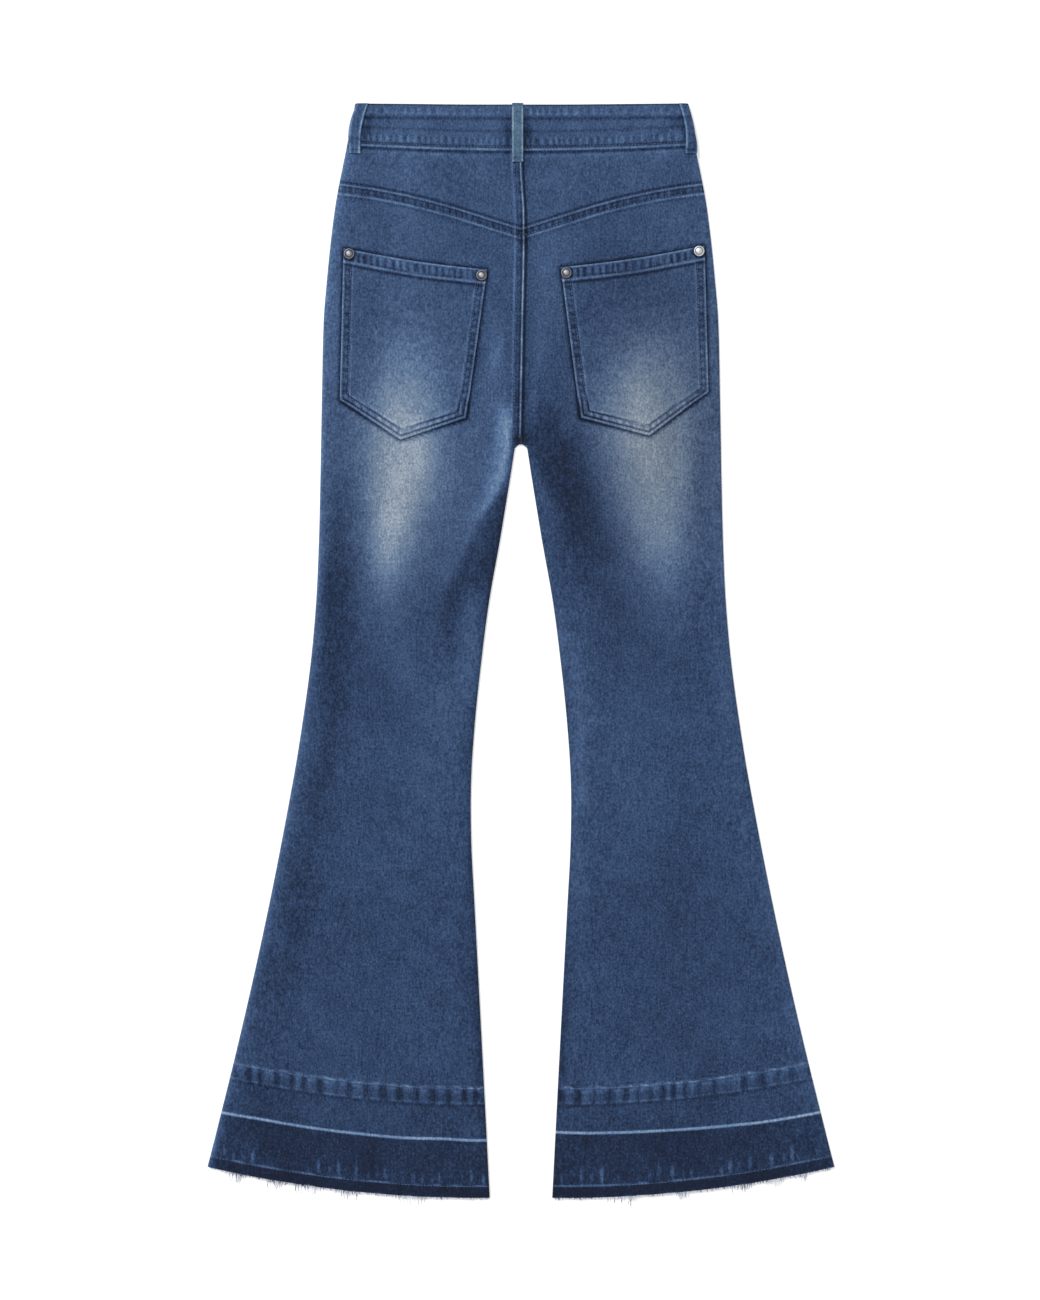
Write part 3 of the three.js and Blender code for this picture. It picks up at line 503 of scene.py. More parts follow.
def cloth_tone(x, drop):
    """Tone of the back layer: wash, worn ridges, painted shade in its grooves and beside what lies on it, and
    painted light on its rolled sides.
    """
    at = seams(x, drop)
    raw = 1 - smoothstep(-0.5, 1.5, at["old_fold"])
    total = wash(x, drop) + raw * (RAW_TONE - read(WASH, drop) + 0.012 * uneven(x, 60, 41))
    worn = 0.75 + 0.25 * uneven(x, 30, 42)
    yoke = strip(at["yoke"], 2, FELL, 1) * (worn_ropes(x, 6.5, 31, 0.07, 0.06, 1.6) - 0.06)
    # Light lines are worn edges; the dark lines are painted shade beside the fell and in its stitched grooves.
    yoke += 0.17 * worn * line(at["yoke"], 0.8, 1) - 0.13 * line(at["yoke"], -1.5, 1.2)
    yoke += 0.17 * worn * line(at["yoke"], FELL + 0.5, 1.3) - 0.06 * line(at["yoke"], FELL + 3, 1.5)
    yoke -= 0.09 * line(at["yoke"], 2.9, 0.9) + 0.1 * line(at["yoke"], 8, 0.9)
    worn = 0.8 + 0.2 * uneven(drop, 30, 43)
    centre = strip(-at["centre"], 0, FELL, 1.5) * (worn_ropes(drop, 10, 32, 0.025, 0.03, 1.4) - 0.02)
    # Along the centre seam, too, the light lines are worn and the dark ones are painted shade, spreading to the
    # right of the seam.
    centre += 0.42 * worn * line(at["centre"], -1, 0.8) - 0.17 * line(at["centre"], 1.5, 1.2)
    centre -= 0.035 * np.exp(-np.clip(at["centre"], 0, None) / 5) * (at["centre"] > 0)
    centre += 0.12 * worn * line(at["centre"], -FELL - 0.4, 1.3) - 0.09 * line(at["centre"], -3, 0.9)
    centre -= 0.05 * line(at["centre"], -7.4, 0.9)
    blobs = worn_ropes(x, 15, 33, 0.04, 0.09, 1.3)
    gaps = smoothstep(-0.06, 0.02, blobs)
    worn = np.clip(0.75 + 0.35 * uneven(x, 18, 44), 0.2, 1.1)
    hem = strip(at["hem"], 0.8, 16.5, 3) * (blobs + 0.03 * uneven(x, 4, 48))
    hem += 0.33 * worn * lerp(0.35, 1, gaps) * line(at["hem"], 0.2 + 0.7 * uneven(x, 7, 49), 1.1)
    hem += gaps * (0.13 * worn * line(at["hem"], 15.8, 1.4) + 0.06 * line(at["hem"], 4, 2))
    # Painted shade below the hem's fell.
    hem -= 0.05 * line(at["hem"], 18.4, 1.6)
    streak = np.clip(2 * uneven(x, 10, 34, True) - 0.5, 0, 1)
    tall = np.clip(28 + 10 * uneven(x, 16, 50), 18, 40)
    bottom = 0.15 * streak * strip(at["raw"], 11, tall, 9) - 0.05 * strip(at["raw"], -3, 11.5, 1.5)
    bottom += 0.22 * np.clip(0.45 + uneven(x, 21, 45), 0.15, 1) * line(at["raw"], 12.4, 0.9)
    bottom += 0.2 * np.clip(0.2 + uneven(x, 7, 47), 0, 1) * line(at["raw"], 0, 0.9)
    pale = (0.36 + 0.05 * uneven(x, 60, 46)) * np.exp(-((at["old_fold"] / 1.5) ** 4))
    total = total + yoke + centre * at["seat"] + hem + bottom + pale + rims(x, drop)
    # Painted shade along the inner edge, where the cloth turns under.
    edge = at["leg"] * np.exp(-at["inner"] / 4)
    total -= edge * np.where(np.asarray(x) < 0, 0.06, 0.01)
    # Painted shade on the yoke just below the waistband, with a faint lighter line beyond it.
    total -= 0.12 * line(at["waist"], 1.3, 1.4) - 0.04 * line(at["waist"], 4.2, 1.2)
    total += 0.02 * line(at["waist"], 6, 3) * (1 + uneven(x, 15, 37, True))
    return total


def pocket_shade(side, half, drop):
    """Shade on the cloth beside a back pocket."""
    top, rest = pocket_edges(side, half, drop)
    deep = lerp(0.21, 0.29, smoothstep(296, 312, drop))
    return deep * np.exp(-((np.minimum(top, rest) / 2) ** 2))


def band_edges(x, drop):
    """Distances up from the waistband's lower edge and down from its upper one."""
    return waist_seam(x) - GAP / 2 - drop, drop - top_edge(x)


def band_top(x, drop):
    """Top of the waistband: rolled edges, pressed grooves and the puckers of its seams."""
    up, down = band_edges(x, drop)
    total = upper(x, drop) + BAND_STAND
    total += 0.45 * uneven(x, 8, 51, True) * strip(up, 4, 16, 5)
    total += 0.3 * uneven(x, 10, 52, True) * strip(down, 1.5, 12, 4)
    total -= 0.4 * (line(up, 4.2, 1) + line(down, 15, 1.5)) + 0.2 * line(up, 20, 1.5)
    return total - 0.6 * np.exp(-np.clip(up, 0, None)) - 0.6 * np.exp(-np.clip(down, 0, None))


def band_tone(x, drop, ground=wash):
    up, down = band_edges(x, drop)
    worn = 0.8 + 0.2 * uneven(x, 26, 53)
    strong = 1.25 + 0.4 * uneven(x, 70, 54)
    total = ground(x, drop) + strong * worn_ropes(x, 7, 51, 0.08, 0.06, 1.6) * strip(up, 4.5, 15, 4)
    total += strong * worn_ropes(x, 9, 52, 0.055, 0.035, 1.4) * strip(down, 2, 13, 4)
    # Light lines are worn edges; the dark lines are painted shade in the stitched grooves and along the turned
    # top edge.
    total += 0.19 * worn * line(up, 1.4, 1.1) - 0.16 * line(up, 4.1, 1.2) - 0.06 * line(up, 20, 1.6)
    total += 0.05 * worn * line(down, 9.5, 1.2) - 0.09 * line(down, 14.5, 2)
    return total - 0.16 * line(down, 0, 1.6)


def pocket_run(x, drop):
    """A length along a pocket's side edges, and then along its bottom ones."""
    return np.where(drop > 306, x, drop)


def pocket_top(side, x, drop):
    """Top of a back pocket, with its turned hem, turned edges and stitched grooves."""
    top, rest = pocket_edges(side, side * x, drop)
    near = np.clip(np.minimum(top, rest) / 1.3, 0, 1)
    total = cloth_top(x, drop) + POCKET_GAP + CLOTH * lerp(0.35, 1, np.sqrt(1 - (1 - near) ** 2))
    ropes = uneven(x, 7, 61 + side, True)
    band = POCKET_HEM_HEIGHT * near + 0.4 * ropes * strip(top, 1.5, 13, 3)
    total += strip(top, -1, POCKET_HEM, 1) * band
    ladder = uneven(pocket_run(x, drop), 7, 66, True)
    total += (0.4 + 0.2 * ladder) * near * (1 - smoothstep(8, 10, rest))
    total -= 0.35 * near * (line(rest, 2.2, 0.8) + line(rest, 8.4, 0.8) + line(top, 12.6, 0.8))
    return total + 0.15 * clouds(x, drop, 45, 62) * smoothstep(0, 12, rest)


def rivet_spots(side):
    """Middles of a pocket's rivets, as (x, drop)."""
    for place in ("outer", "inner"):
        low, high = (Vector(corner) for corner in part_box(f"rivet_{WORD[side]}_{place}"))
        middle = (low + high) / 2 / MM
        yield place, middle.x, TOP_Y - middle.y


def pocket_tone(side, x, drop):
    top, rest = pocket_edges(side, side * x, drop)
    worn = 0.8 + 0.2 * uneven(x + drop, 24, 63 + side)
    under = smoothstep(14, 17, top)
    total = wash(x, drop)
    total += worn_ropes(x, 7, 61 + side, 0.1, 0.14, 1.5) * strip(top, 1.8, 12.5, 2)
    foot = smoothstep(296, 312, drop)
    # Light lines are worn edges; the dark lines are painted shade along the foot, in the stitched grooves and
    # under the turned hem.
    total += (0.22 - 0.08 * foot) * worn * line(np.minimum(top, rest), 0.8 + 1.2 * foot, 1)
    total -= 0.2 * foot * line(rest, 0, 1.1)
    total += 0.19 * worn * line(top, 13.6, 1.2) - 0.1 * line(top, 11.6, 0.8) - 0.15 * line(top, 16.4, 1.5)
    ladder = worn_ropes(pocket_run(x, drop), 7, 66, 0.09, 0.06, 1.6) * (1 + 0.5 * foot) - 0.03
    total += under * (ladder + 0.03 * foot) * strip(rest, 2.4 + 2 * foot, 8.6 + foot, 1.5)
    total += under * 0.12 * worn * line(rest, 9.8 + 1.5 * foot, 1.1)
    total -= under * lerp(0.15, 0.27, foot) * (line(rest, 2.6 + 1.4 * foot, 0.9) + line(rest, 8 + 1.6 * foot, 1))
    # Painted shade round each rivet.
    for _, x0, drop0 in rivet_spots(side):
        total -= 0.16 * line(np.hypot(x - x0, drop - drop0), RIVET_RADIUS + 0.8, 1.8)
    return total


def scoop(drop):
    """The slanting mouth of the front pocket."""
    t = np.clip((drop - SCOOP_TOP) / SCOOP_DEPTH, 0, None)
    end = outer_half(SCOOP_TOP + SCOOP_DEPTH) - FLAP
    return lerp(SCOOP_HALF, end, t**SCOOP_POWER)


def fly_edge(drop):
    t = np.clip((drop - FLY_STRAIGHT) / (FLY_END - FLY_STRAIGHT), 0, 1)
    return FLY_WIDTH * np.cos(t * np.pi / 2)


def side_seam(drop):
    return outer_half(drop) - FLAP - GAP


def front_wash(x, drop):
    total = read(WASH, drop) + 0.008 * clouds(x, drop, 80, 71) + 0.006 * clouds(x, drop, 28, 72)
    for half0, drop0, across, along, amount in WORN_FRONT:
        off = ((np.abs(x) - half0) / across) ** 2 + ((drop - drop0) / along) ** 2
        total = total + amount * np.exp(-off)
    return total


def front_tone(x, drop):
    half = np.abs(x)
    total = front_wash(x, drop)
    fly = np.where(np.asarray(x) < 0, fly_edge(drop) - half, 99)
    # Light lines are worn edges; the dark lines are painted shade beside the fly, the middle seam, the pocket
    # mouth, the side seam and the inner edge.
    total += 0.1 * line(fly, 0.9, 0.9) - 0.1 * line(fly, -0.6, 0.9) - 0.06 * line(fly, 5.3, 4)
    total += 0.1 * line(x, -1.2, 1) - 0.12 * line(x, 0.6, 1)
    mouth = np.abs(scoop(drop) - SCOOP_CLEAR - half)
    near = drop < SCOOP_TOP + SCOOP_DEPTH + 8
    total += near * (0.2 * line(mouth, 0.9, 0.9) - 0.1 * line(mouth, 2.6, 1) - 0.09 * line(mouth, 8.5, 1))
    inner = inner_distance(x, drop)
    total -= 0.03 * np.exp(-inner / 5)
    total -= 0.06 * line(side_seam(drop) - half, 0, 1.4)
    return total


def pressed(x, drop):
    """Hollows of the front layer's outer face, up off the table and clear of its edges."""
    inside = smoothstep(4, 30, np.minimum(side_seam(drop) - np.abs(x), inner_distance(x, drop)))
    soft = 0.35 + 0.35 * clouds(x, drop, 95, 73) + 0.15 * clouds(x, drop, 34, 74)
    return inside * np.clip(soft + 0.5 * folds(-x, drop), 0, 1.1)


# Meshes


def flat_index(rows, columns, layer):
    return (layer * rows + np.arange(rows)[:, None]) * columns + np.arange(columns)[None, :]


def wall(name, outer, inner, tone, materials, reverse_tone=None):
    """A closed cloth wall from two grids of points in millimetres."""
    rows, columns = outer.shape[:2]
    points = np.concatenate([outer.reshape(-1, 3), inner.reshape(-1, 3)]) * MM
    out, inn = flat_index(rows, columns, 0), flat_index(rows, columns, 1)

    def quads(a, b, c, d):
        return np.stack([a, b, c, d], axis=-1).reshape(-1, 4)

    top = quads(out[:-1, :-1], out[1:, :-1], out[1:, 1:], out[:-1, 1:])
    under = quads(inn[:-1, :-1], inn[:-1, 1:], inn[1:, 1:], inn[1:, :-1])
    rims = [
        quads(out[1:, 0], out[:-1, 0], inn[:-1, 0], inn[1:, 0]),
        quads(out[:-1, -1], out[1:, -1], inn[1:, -1], inn[:-1, -1]),
        quads(out[0, :-1], out[0, 1:], inn[0, 1:], inn[0, :-1]),
        quads(out[-1, 1:], out[-1, :-1], inn[-1, :-1], inn[-1, 1:]),
    ]
    faces = np.concatenate([top, under, *rims])
    a, b, c, d = (points[faces[:, k]] for k in range(4))
    if (a * (np.cross(b, c) + np.cross(c, d))).sum() < 0:
        faces = faces[:, ::-1]
    mesh = bpy.data.meshes.new(name)
    mesh.from_pydata(points.tolist(), [], faces.tolist())
    for material in materials:
        mesh.materials.append(material)
    reverse = np.zeros(len(faces), np.int32)
    reverse[len(top) : len(top) + len(under)] = len(materials) - 1
    mesh.polygons.foreach_set("material_index", reverse)
    both = np.concatenate([tone.ravel(), (tone if reverse_tone is None else reverse_tone).ravel()])
    grey = greying(points[:, 0] / MM, TOP_Y - points[:, 1] / MM)
    for key, values in {"tone": both, "grey": grey}.items():
        layer = mesh.attributes.new(key, "FLOAT", "POINT")
        layer.data.foreach_set("value", values.astype(np.float32))
    mesh.shade_smooth()
    mesh.set_sharp_from_angle(angle=0.9)
    mesh.update()
    made = bpy.data.objects.new(name, mesh)
    bpy.context.scene.collection.objects.link(made)
    return made


def columns(near, across, fold_step=15):
    """Columns of a panel, as (inner weight, outer weight, offset, angle round the fold)."""
    start = near[-1]
    rows = [(1, 0, d, 90) for d in near]
    for s in np.linspace(0, 1, across + 1)[1:]:
        rows.append((1 - s, s, start * (1 - s) - FOLD_REACH * s, 90))
    for angle in np.arange(90 - fold_step, -91, -fold_step):
        rows.append((0, 1, FOLD_REACH * (np.cos(np.radians(angle)) - 1), angle))
    rows += [(0, 1, -share * FLAP, -90) for share in (0.45, 0.75, 1)]
    return np.array(rows)


def spread(top_line, bottom_line, v, table, inner, outer=outer_half):
    """A grid of rows and columns between a panel's top and bottom lines."""

    def half_at(drop):
        return table[:, 0] * inner(drop) + table[:, 1] * outer(drop) + table[:, 2]

    ends = []
    for edge in (top_line, bottom_line):
        drop = edge(0.0) + 0 * table[:, 0]
        for _ in range(14):
            drop = edge(half_at(drop))
        ends.append(drop)
    drop = lerp(ends[0], ends[1], v[:, None])
    return half_at(drop), drop


def rolled(side, half, drop, table, top_of, thickness):
    """Points of both faces of a layer that turns round the outer side and in under it."""
    angle = np.radians(table[:, 3])[None, :] + 0 * half
    edge = outer_half(drop)
    bottom = lift(drop)
    fold_top = top_of(side * (edge - FOLD_REACH), drop)
    flat = table[:, 3] == 90
    layers = []
    for inset in (0, thickness):
        high = (fold_top - bottom) / 2 - inset
        x = edge - FOLD_REACH + (FOLD_REACH - inset) * np.cos(angle)
        z = (fold_top + bottom) / 2 + high * np.sin(angle)
        under = (table[:, 3] == -90) & (table[:, 2] < -FOLD_REACH - 0.1)
        x = np.where(flat | under, half, x)
        z = np.where(flat, top_of(side * half, drop) - inset, z)
        layers.append(np.stack([side * x, TOP_Y - drop, z], axis=-1))
    return layers


def spaced(*stretches):
    """Rising values from stretches of (end, step), each starting where the last one ended."""
    values = [0.0]
    for end, step in stretches:
        count = max(1, round((end - values[-1]) / step))
        values += list(np.linspace(values[-1], end, count + 1)[1:])
    return np.array(values)


def panel(name, side, top_line, bottom_line, downs, near, across, materials):
    """One piece of the back layer."""
    table = columns(near, across)
    v = np.clip(downs / (bottom_line(0.0) - top_line(0.0)), 0, 1)
    half, drop = spread(top_line, bottom_line, v, table, lambda d: back_inner(side, d))
    outer, inner = rolled(side, half, drop, table, cloth_top, CLOTH)
    shade = 0.06 * smoothstep(75, -30, table[:, 3])[None, :] * (table[:, 3] > -90)[None, :]
    tone = cloth_tone(side * half, drop) - shade
    tone -= pocket_shade(side, half, drop) * (table[:, 3] == 90)[None, :]
    return wall(name, outer, inner, tone, materials), outer


def cut_of(points):
    """Width, length and area in metres of the cloth in a grid of points."""
    across = np.linalg.norm(np.diff(points, axis=1), axis=2).sum(axis=1).max() * MM
    along = np.linalg.norm(np.diff(points, axis=0), axis=2).sum(axis=0).max() * MM
    sides = points[1:, 1:] - points[:-1, :-1], points[1:, :-1] - points[:-1, 1:]
    area = np.linalg.norm(np.cross(*sides), axis=2).sum() / 2 * MM * MM
    return (round(across, 3), round(along, 3)), float(min(area, 0.99 * across * along))


def lay(made, points, nodes, slot, rests_on, with_pieces=()):
    """Say what a cloth piece stands for and how large it was cut."""
    flat, area = cut_of(points)
    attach(made, BODY)
    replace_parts(made, *nodes)
    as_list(rests_on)
    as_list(with_pieces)
    print(f"{made.name}: cut {flat[0]:.3f} by {flat[1]:.3f} m, {area:.4f} square metres")
    return made


# Materials


def rgb(code):
    """An sRGB hex colour as linear values."""
    parts = [int(code[i : i + 2], 16) / 255 for i in (1, 3, 5)]
    return [c / 12.92 if c <= 0.04045 else ((c + 0.055) / 1.055) ** 2.4 for c in parts] + [1]


def node(tree, kind, inputs=(), **settings):
    """Add a node with its settings and the values or links of its inputs."""
    made = tree.nodes.new(kind)
    for key, value in settings.items():
        setattr(made, key, value)
    for key, value in dict(inputs).items():
        if isinstance(value, bpy.types.NodeSocket):
            tree.links.new(value, made.inputs[key])
        else:
            made.inputs[key].default_value = value
    return made


def ramp(tree, factor, stops):
    """Colours by position, given as {position: hex code}."""
    made = node(tree, "ShaderNodeValToRGB", {"Fac": factor})
    elements = made.color_ramp.elements
    while len(elements) < len(stops):
        elements.new(0.5)
    for element, (position, code) in zip(elements, sorted(stops.items())):
        element.position = position
        element.color = rgb(code)
    return made.outputs["Color"]


def new_material(name, **settings):
    material = bpy.data.materials.new(name)
    material.use_nodes = True
    tree = material.node_tree
    shader = tree.nodes["Principled BSDF"]
    for key, value in settings.items():
        shader.inputs[key.replace("_", " ")].default_value = value
    return material, tree, shader


def stretched_noise(tree, place, grain, detail=2):
    """Noise whose grains have a size in millimetres along each axis, from -0.5 to 0.5."""
    scale = [1 / (size * MM) for size in grain]
    scaled = node(tree, "ShaderNodeVectorMath", {0: place, 1: scale}, operation="MULTIPLY")
    inputs = {"Vector": scaled.outputs[0], "Scale": 1.0, "Detail": detail}
    noise = node(tree, "ShaderNodeTexNoise", inputs)
    return node(tree, "ShaderNodeMath", {0: noise.outputs[0], 1: 0.5}, operation="SUBTRACT").outputs[0]


def add_up(tree, first, *terms):
    """A value plus other values, each times its own amount."""
    total = first
    for value, amount in terms:
        inputs = {0: value, 1: amount, 2: total}
        total = node(tree, "ShaderNodeMath", inputs, operation="MULTIPLY_ADD").outputs[0]
    return total


# Ring-dyed indigo cotton twill with a little stretch, stone washed: the dye lies on the outside of
# the yarn, so worn places turn pale and greyish while the rest stays a deep matt blue.
INDIGO = {
    0.0: "#060a16", 0.12: "#101b32", 0.18: "#1b2c49", 0.23: "#283d5e", 0.27: "#32486b",
    0.32: "#3e5579", 0.38: "#4a658d", 0.44: "#59779c", 0.5: "#6983a2", 0.56: "#7f93af",
    0.62: "#94a4bb", 0.72: "#aab8cb", 0.85: "#c9ced5", 1.0: "#e4e7ea",
}
# Where the wash went deep, the grey core of the yarn shows through
CORE_GREY = {
    0.0: "#070b14", 0.12: "#131c2f", 0.18: "#1f2c44", 0.23: "#2b3a55", 0.27: "#354561",
    0.32: "#42526b", 0.38: "#546378", 0.44: "#657386", 0.5: "#727f8e", 0.56: "#84909d",
    0.62: "#959fac", 0.72: "#adb4be", 0.85: "#c9ced5", 1.0: "#e4e7ea",
}
# The loops are cut from a paler, greener part of the same wash
LOOP_INDIGO = {
    0.0: "#0a121b", 0.18: "#21344a", 0.27: "#385069", 0.38: "#4d6883", 0.45: "#5f7b94",
    0.55: "#7f93a5", 0.7: "#a9b5bf", 1.0: "#e4e7ea",
}
# Thread spacing is about 0.5 mm, too fine to show, so the twill is drawn three times as coarse
TWILL_PITCH = 1.5


def denim(name, stops, offset=0.0):
    """Denim that takes its tone from the mesh and adds slubs, grain and a twill line."""
    material, tree, shader = new_material(
        name, Roughness=0.9, Sheen_Weight=0.06, Sheen_Roughness=0.6, Specular_IOR_Level=0.18
    )
    place = node(tree, "ShaderNodeTexCoord").outputs["Object"]
    tone = node(tree, "ShaderNodeAttribute", attribute_name="tone").outputs["Fac"]
    slubs = stretched_noise(tree, place, (1.6, 9, 8))
    grain = stretched_noise(tree, place, (1.8, 2.4, 3), detail=3)
    mottle = stretched_noise(tree, place, (4.5, 6, 6))
    patches = stretched_noise(tree, place, (13, 18, 14), detail=1)
    twill = node(
        tree,
        "ShaderNodeTexWave",
        {"Vector": place, "Scale": 0.5 / (TWILL_PITCH * MM) / 3.5, "Distortion": 1.2, "Detail": 1.0},
        bands_direction="DIAGONAL",
    ).outputs[1]
    start = node(tree, "ShaderNodeMath", {0: tone, 1: offset}, operation="ADD").outputs[0]
    grains = add_up(tree, 0.0, (slubs, 0.13), (grain, 0.33), (mottle, 0.08), (patches, 0.06))
    gain = add_up(tree, 0.65, (tone, 1.3))
    varied = add_up(tree, start, (grains, gain))
    grey = node(tree, "ShaderNodeAttribute", attribute_name="grey").outputs["Fac"]
    colours = {0: grey, 6: ramp(tree, varied, stops), 7: ramp(tree, varied, CORE_GREY)}
    mixed = node(tree, "ShaderNodeMix", colours, data_type="RGBA").outputs[2]
    tree.links.new(mixed, shader.inputs["Base Color"])
    height = add_up(tree, 0.0, (grain, 0.5), (slubs, 0.5), (twill, 0.12))
    bump = node(tree, "ShaderNodeBump", {"Height": height, "Strength": 0.35, "Distance": 0.0006})
    tree.links.new(bump.outputs[0], shader.inputs["Normal"])
    return material


def thread_material(name, dark, light):
    """Spun cotton thread, matt, a little lighter where it is worn."""
    material, tree, shader = new_material(name, Roughness=0.85, Specular_IOR_Level=0.2)
    place = node(tree, "ShaderNodeTexCoord").outputs["Object"]
    worn = stretched_noise(tree, place, (9, 9, 9), detail=3)
    factor = node(tree, "ShaderNodeMath", {0: worn, 1: 0.5}, operation="ADD").outputs[0]
    tree.links.new(ramp(tree, factor, {0.35: dark, 0.65: light}), shader.inputs["Base Color"])
    return material


def old_silver():
    """Zinc alloy plated in antique silver: dark in its hollows, worn bright on its rims."""
    material, tree, shader = new_material("antique_silver_zinc", Metallic=1.0, Roughness=0.5)
    place = node(tree, "ShaderNodeTexCoord").outputs["Object"]
    tone = node(tree, "ShaderNodeAttribute", attribute_name="tone").outputs["Fac"]
    stain = stretched_noise(tree, place, (1.6, 1.6, 1.6), detail=3)
    factor = add_up(tree, tone, (stain, 0.35))
    stops = {0.0: "#1d1d1f", 0.3: "#53545a", 0.6: "#888a90", 0.85: "#b3b4b8", 1.0: "#dcdde0"}
    tree.links.new(ramp(tree, factor, stops), shader.inputs["Base Color"])
    rough = add_up(tree, 0.5, (stain, 0.3))
    tree.links.new(rough, shader.inputs["Roughness"])
    return material


def tape_material():
    """Navy herringbone tape of polyester, woven in narrow ribs along its length."""
    material, tree, shader = new_material("zip_tape_herringbone", Roughness=0.7, Sheen_Weight=0.1)
    place = node(tree, "ShaderNodeTexCoord").outputs["Object"]
    ribs = {"Vector": place, "Scale": 300.0, "Distortion": 0.6, "Detail": 1.0}
    ribs = node(tree, "ShaderNodeTexWave", ribs, bands_direction="DIAGONAL").outputs[1]
    fuzz = stretched_noise(tree, place, (0.8, 3, 2))
    factor = add_up(tree, 0.1, (ribs, 0.6), (fuzz, 0.5))
    colour = ramp(tree, factor, {0.0: "#131a2a", 0.5: "#222d44", 1.0: "#3a4761"})
    tree.links.new(colour, shader.inputs["Base Color"])
    bump = node(tree, "ShaderNodeBump", {"Height": factor, "Strength": 0.4, "Distance": 0.0003})
    tree.links.new(bump.outputs[0], shader.inputs["Normal"])
    return material


BLUE = denim("washed_indigo_twill", INDIGO)
REVERSE = denim("indigo_twill_reverse", INDIGO, offset=0.24)
LOOP_BLUE = denim("worn_loop_twill", LOOP_INDIGO)
THREAD = thread_material("indigo_core_spun_thread", "#3c5176", "#7187a8")
FRAYED = thread_material("frayed_cotton_yarn", "#4c587a", "#cdd1dd")
SILVER = old_silver()
TAPE = tape_material()


def floor_material():
    material, _, shader = new_material(
        "pale_board", Roughness=0.8, Specular_IOR_Level=0.1, Emission_Strength=0.3
    )
    shader.inputs["Emission Color"].default_value = rgb("#ffffff")
    shader.inputs["Base Color"].default_value = rgb("#fbfbfb")
    return material


def make_camera():
    data = bpy.data.cameras.new("camera")
    data.lens = LENS
    data.sensor_width = SENSOR
    camera = bpy.data.objects.new("camera", data)
    camera.location = (*FRAME_CENTRE, FRAME_HEIGHT * LENS / SENSOR)
    bpy.context.scene.collection.objects.link(camera)
    bpy.context.scene.camera = camera


def make_light():
    world = bpy.data.worlds.new("studio")
    bpy.context.scene.world = world
    world.use_nodes = True
    world.node_tree.nodes["Background"].inputs["Color"].default_value = rgb("#ffffff")
    world.node_tree.nodes["Background"].inputs["Strength"].default_value = 0.62
    sun = bpy.data.lights.new("soft_key", "SUN")
    sun.energy = 1.75
    sun.angle = np.radians(24)
    key = bpy.data.objects.new("soft_key", sun)
    key.rotation_euler = Vector((0.55, -0.62, -1)).to_track_quat("-Z", "Y").to_euler()
    bpy.context.scene.collection.objects.link(key)


def make_floor():
    mesh = bpy.data.meshes.new("floor")
    size = 4.0
    corners = [(-size, -size, 0), (size, -size, 0), (size, size, 0), (-size, size, 0)]
    mesh.from_pydata(corners, [], [(0, 1, 2, 3)])
    mesh.materials.append(floor_material())
    floor = bpy.data.objects.new("floor", mesh)
    bpy.context.scene.collection.objects.link(floor)
    floor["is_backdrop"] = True


# Cloth pieces of the back

NEAR = spaced((14, 0.8), (22, 2))
CLOTH_FACES = [BLUE, REVERSE]


def make_back(side):
    word = WORD[side]
    yoke_rows = spaced((3, 0.7), (70, 2.4), (78.35, 0.8))
    yoke = panel(
        f"yoke_cloth_{word}", side, below(waist_seam, GAP / 2), below(yoke_seam, -GAP / 2),
        yoke_rows, NEAR, 72, CLOTH_FACES,
    )
    crotch = CROTCH_DROP - yoke_seam(0) - GAP / 2
    leg_rows = spaced(
        (14, 0.75), (crotch - 0.05, 2.9), (crotch + 0.05, 0.1), (crotch + 4, 0.4), (868, 2.9), (882, 1.2)
    )
    leg = panel(
        f"back_leg_cloth_{word}", side, below(yoke_seam, GAP / 2), below(hem_seam, -GAP / 2),
        leg_rows, NEAR, 78, CLOTH_FACES,
    )
    hem_rows = spaced((4, 0.6), (20, 1.1), (43, 2.4), (57, 0.65), (90, 2.2), (112.85, 0.9))
    hem = panel(
        f"hem_back_cloth_{word}", side, below(hem_seam, GAP / 2), raw_edge,
        hem_rows, spaced((12, 1), (16, 2)), 150, CLOTH_FACES,
    )
    return yoke, leg, hem


def make_band():
    """The back of the waistband, from flap to flap in one piece."""
    table = columns(spaced((4, 1.3)), 118)
    v = spaced((4, 0.8), (43, 1.1), (48, 0.8)) / 48
    halves = []
    for side in (LEFT, RIGHT):
        half, drop = spread(top_edge, below(waist_seam, -GAP / 2), v, table, lambda d: 0 * d)
        shade = 0.1 * smoothstep(75, -30, table[:, 3])[None, :] * (table[:, 3] > -90)[None, :]
        grids = rolled(side, half, drop, table, band_top, BAND_CLOTH)
        halves.append([*grids, band_tone(side * half, drop) - shade])
    outer, inner, tone = (
        np.concatenate([left[:, :0:-1], right], axis=1) for left, right in zip(*halves)
    )
    return wall("waistband_cloth", outer, inner, tone, CLOTH_FACES), outer


def along(path, step):
    """A path with points at even steps."""
    path = np.array(path, float)
    reach = np.append(0, np.cumsum(np.linalg.norm(np.diff(path, axis=0), axis=1)))
    spots = np.linspace(0, reach[-1], max(2, round(reach[-1] / step) + 1))
    return np.stack([np.interp(spots, reach, column) for column in path.T], axis=1)


def inset(path, distance):
    """An open path moved sideways into the shape that it goes round, mitred at its corners."""
    path = np.array(path, float)
    runs = np.diff(path, axis=0)
    runs /= np.linalg.norm(runs, axis=1)[:, None]
    normals = np.stack([-runs[:, 1], runs[:, 0]], axis=1)
    mitres = [(a + b) / (1 + a @ b) for a, b in zip(normals, normals[1:])]
    return path + distance * np.array([normals[0], *mitres, normals[-1]])


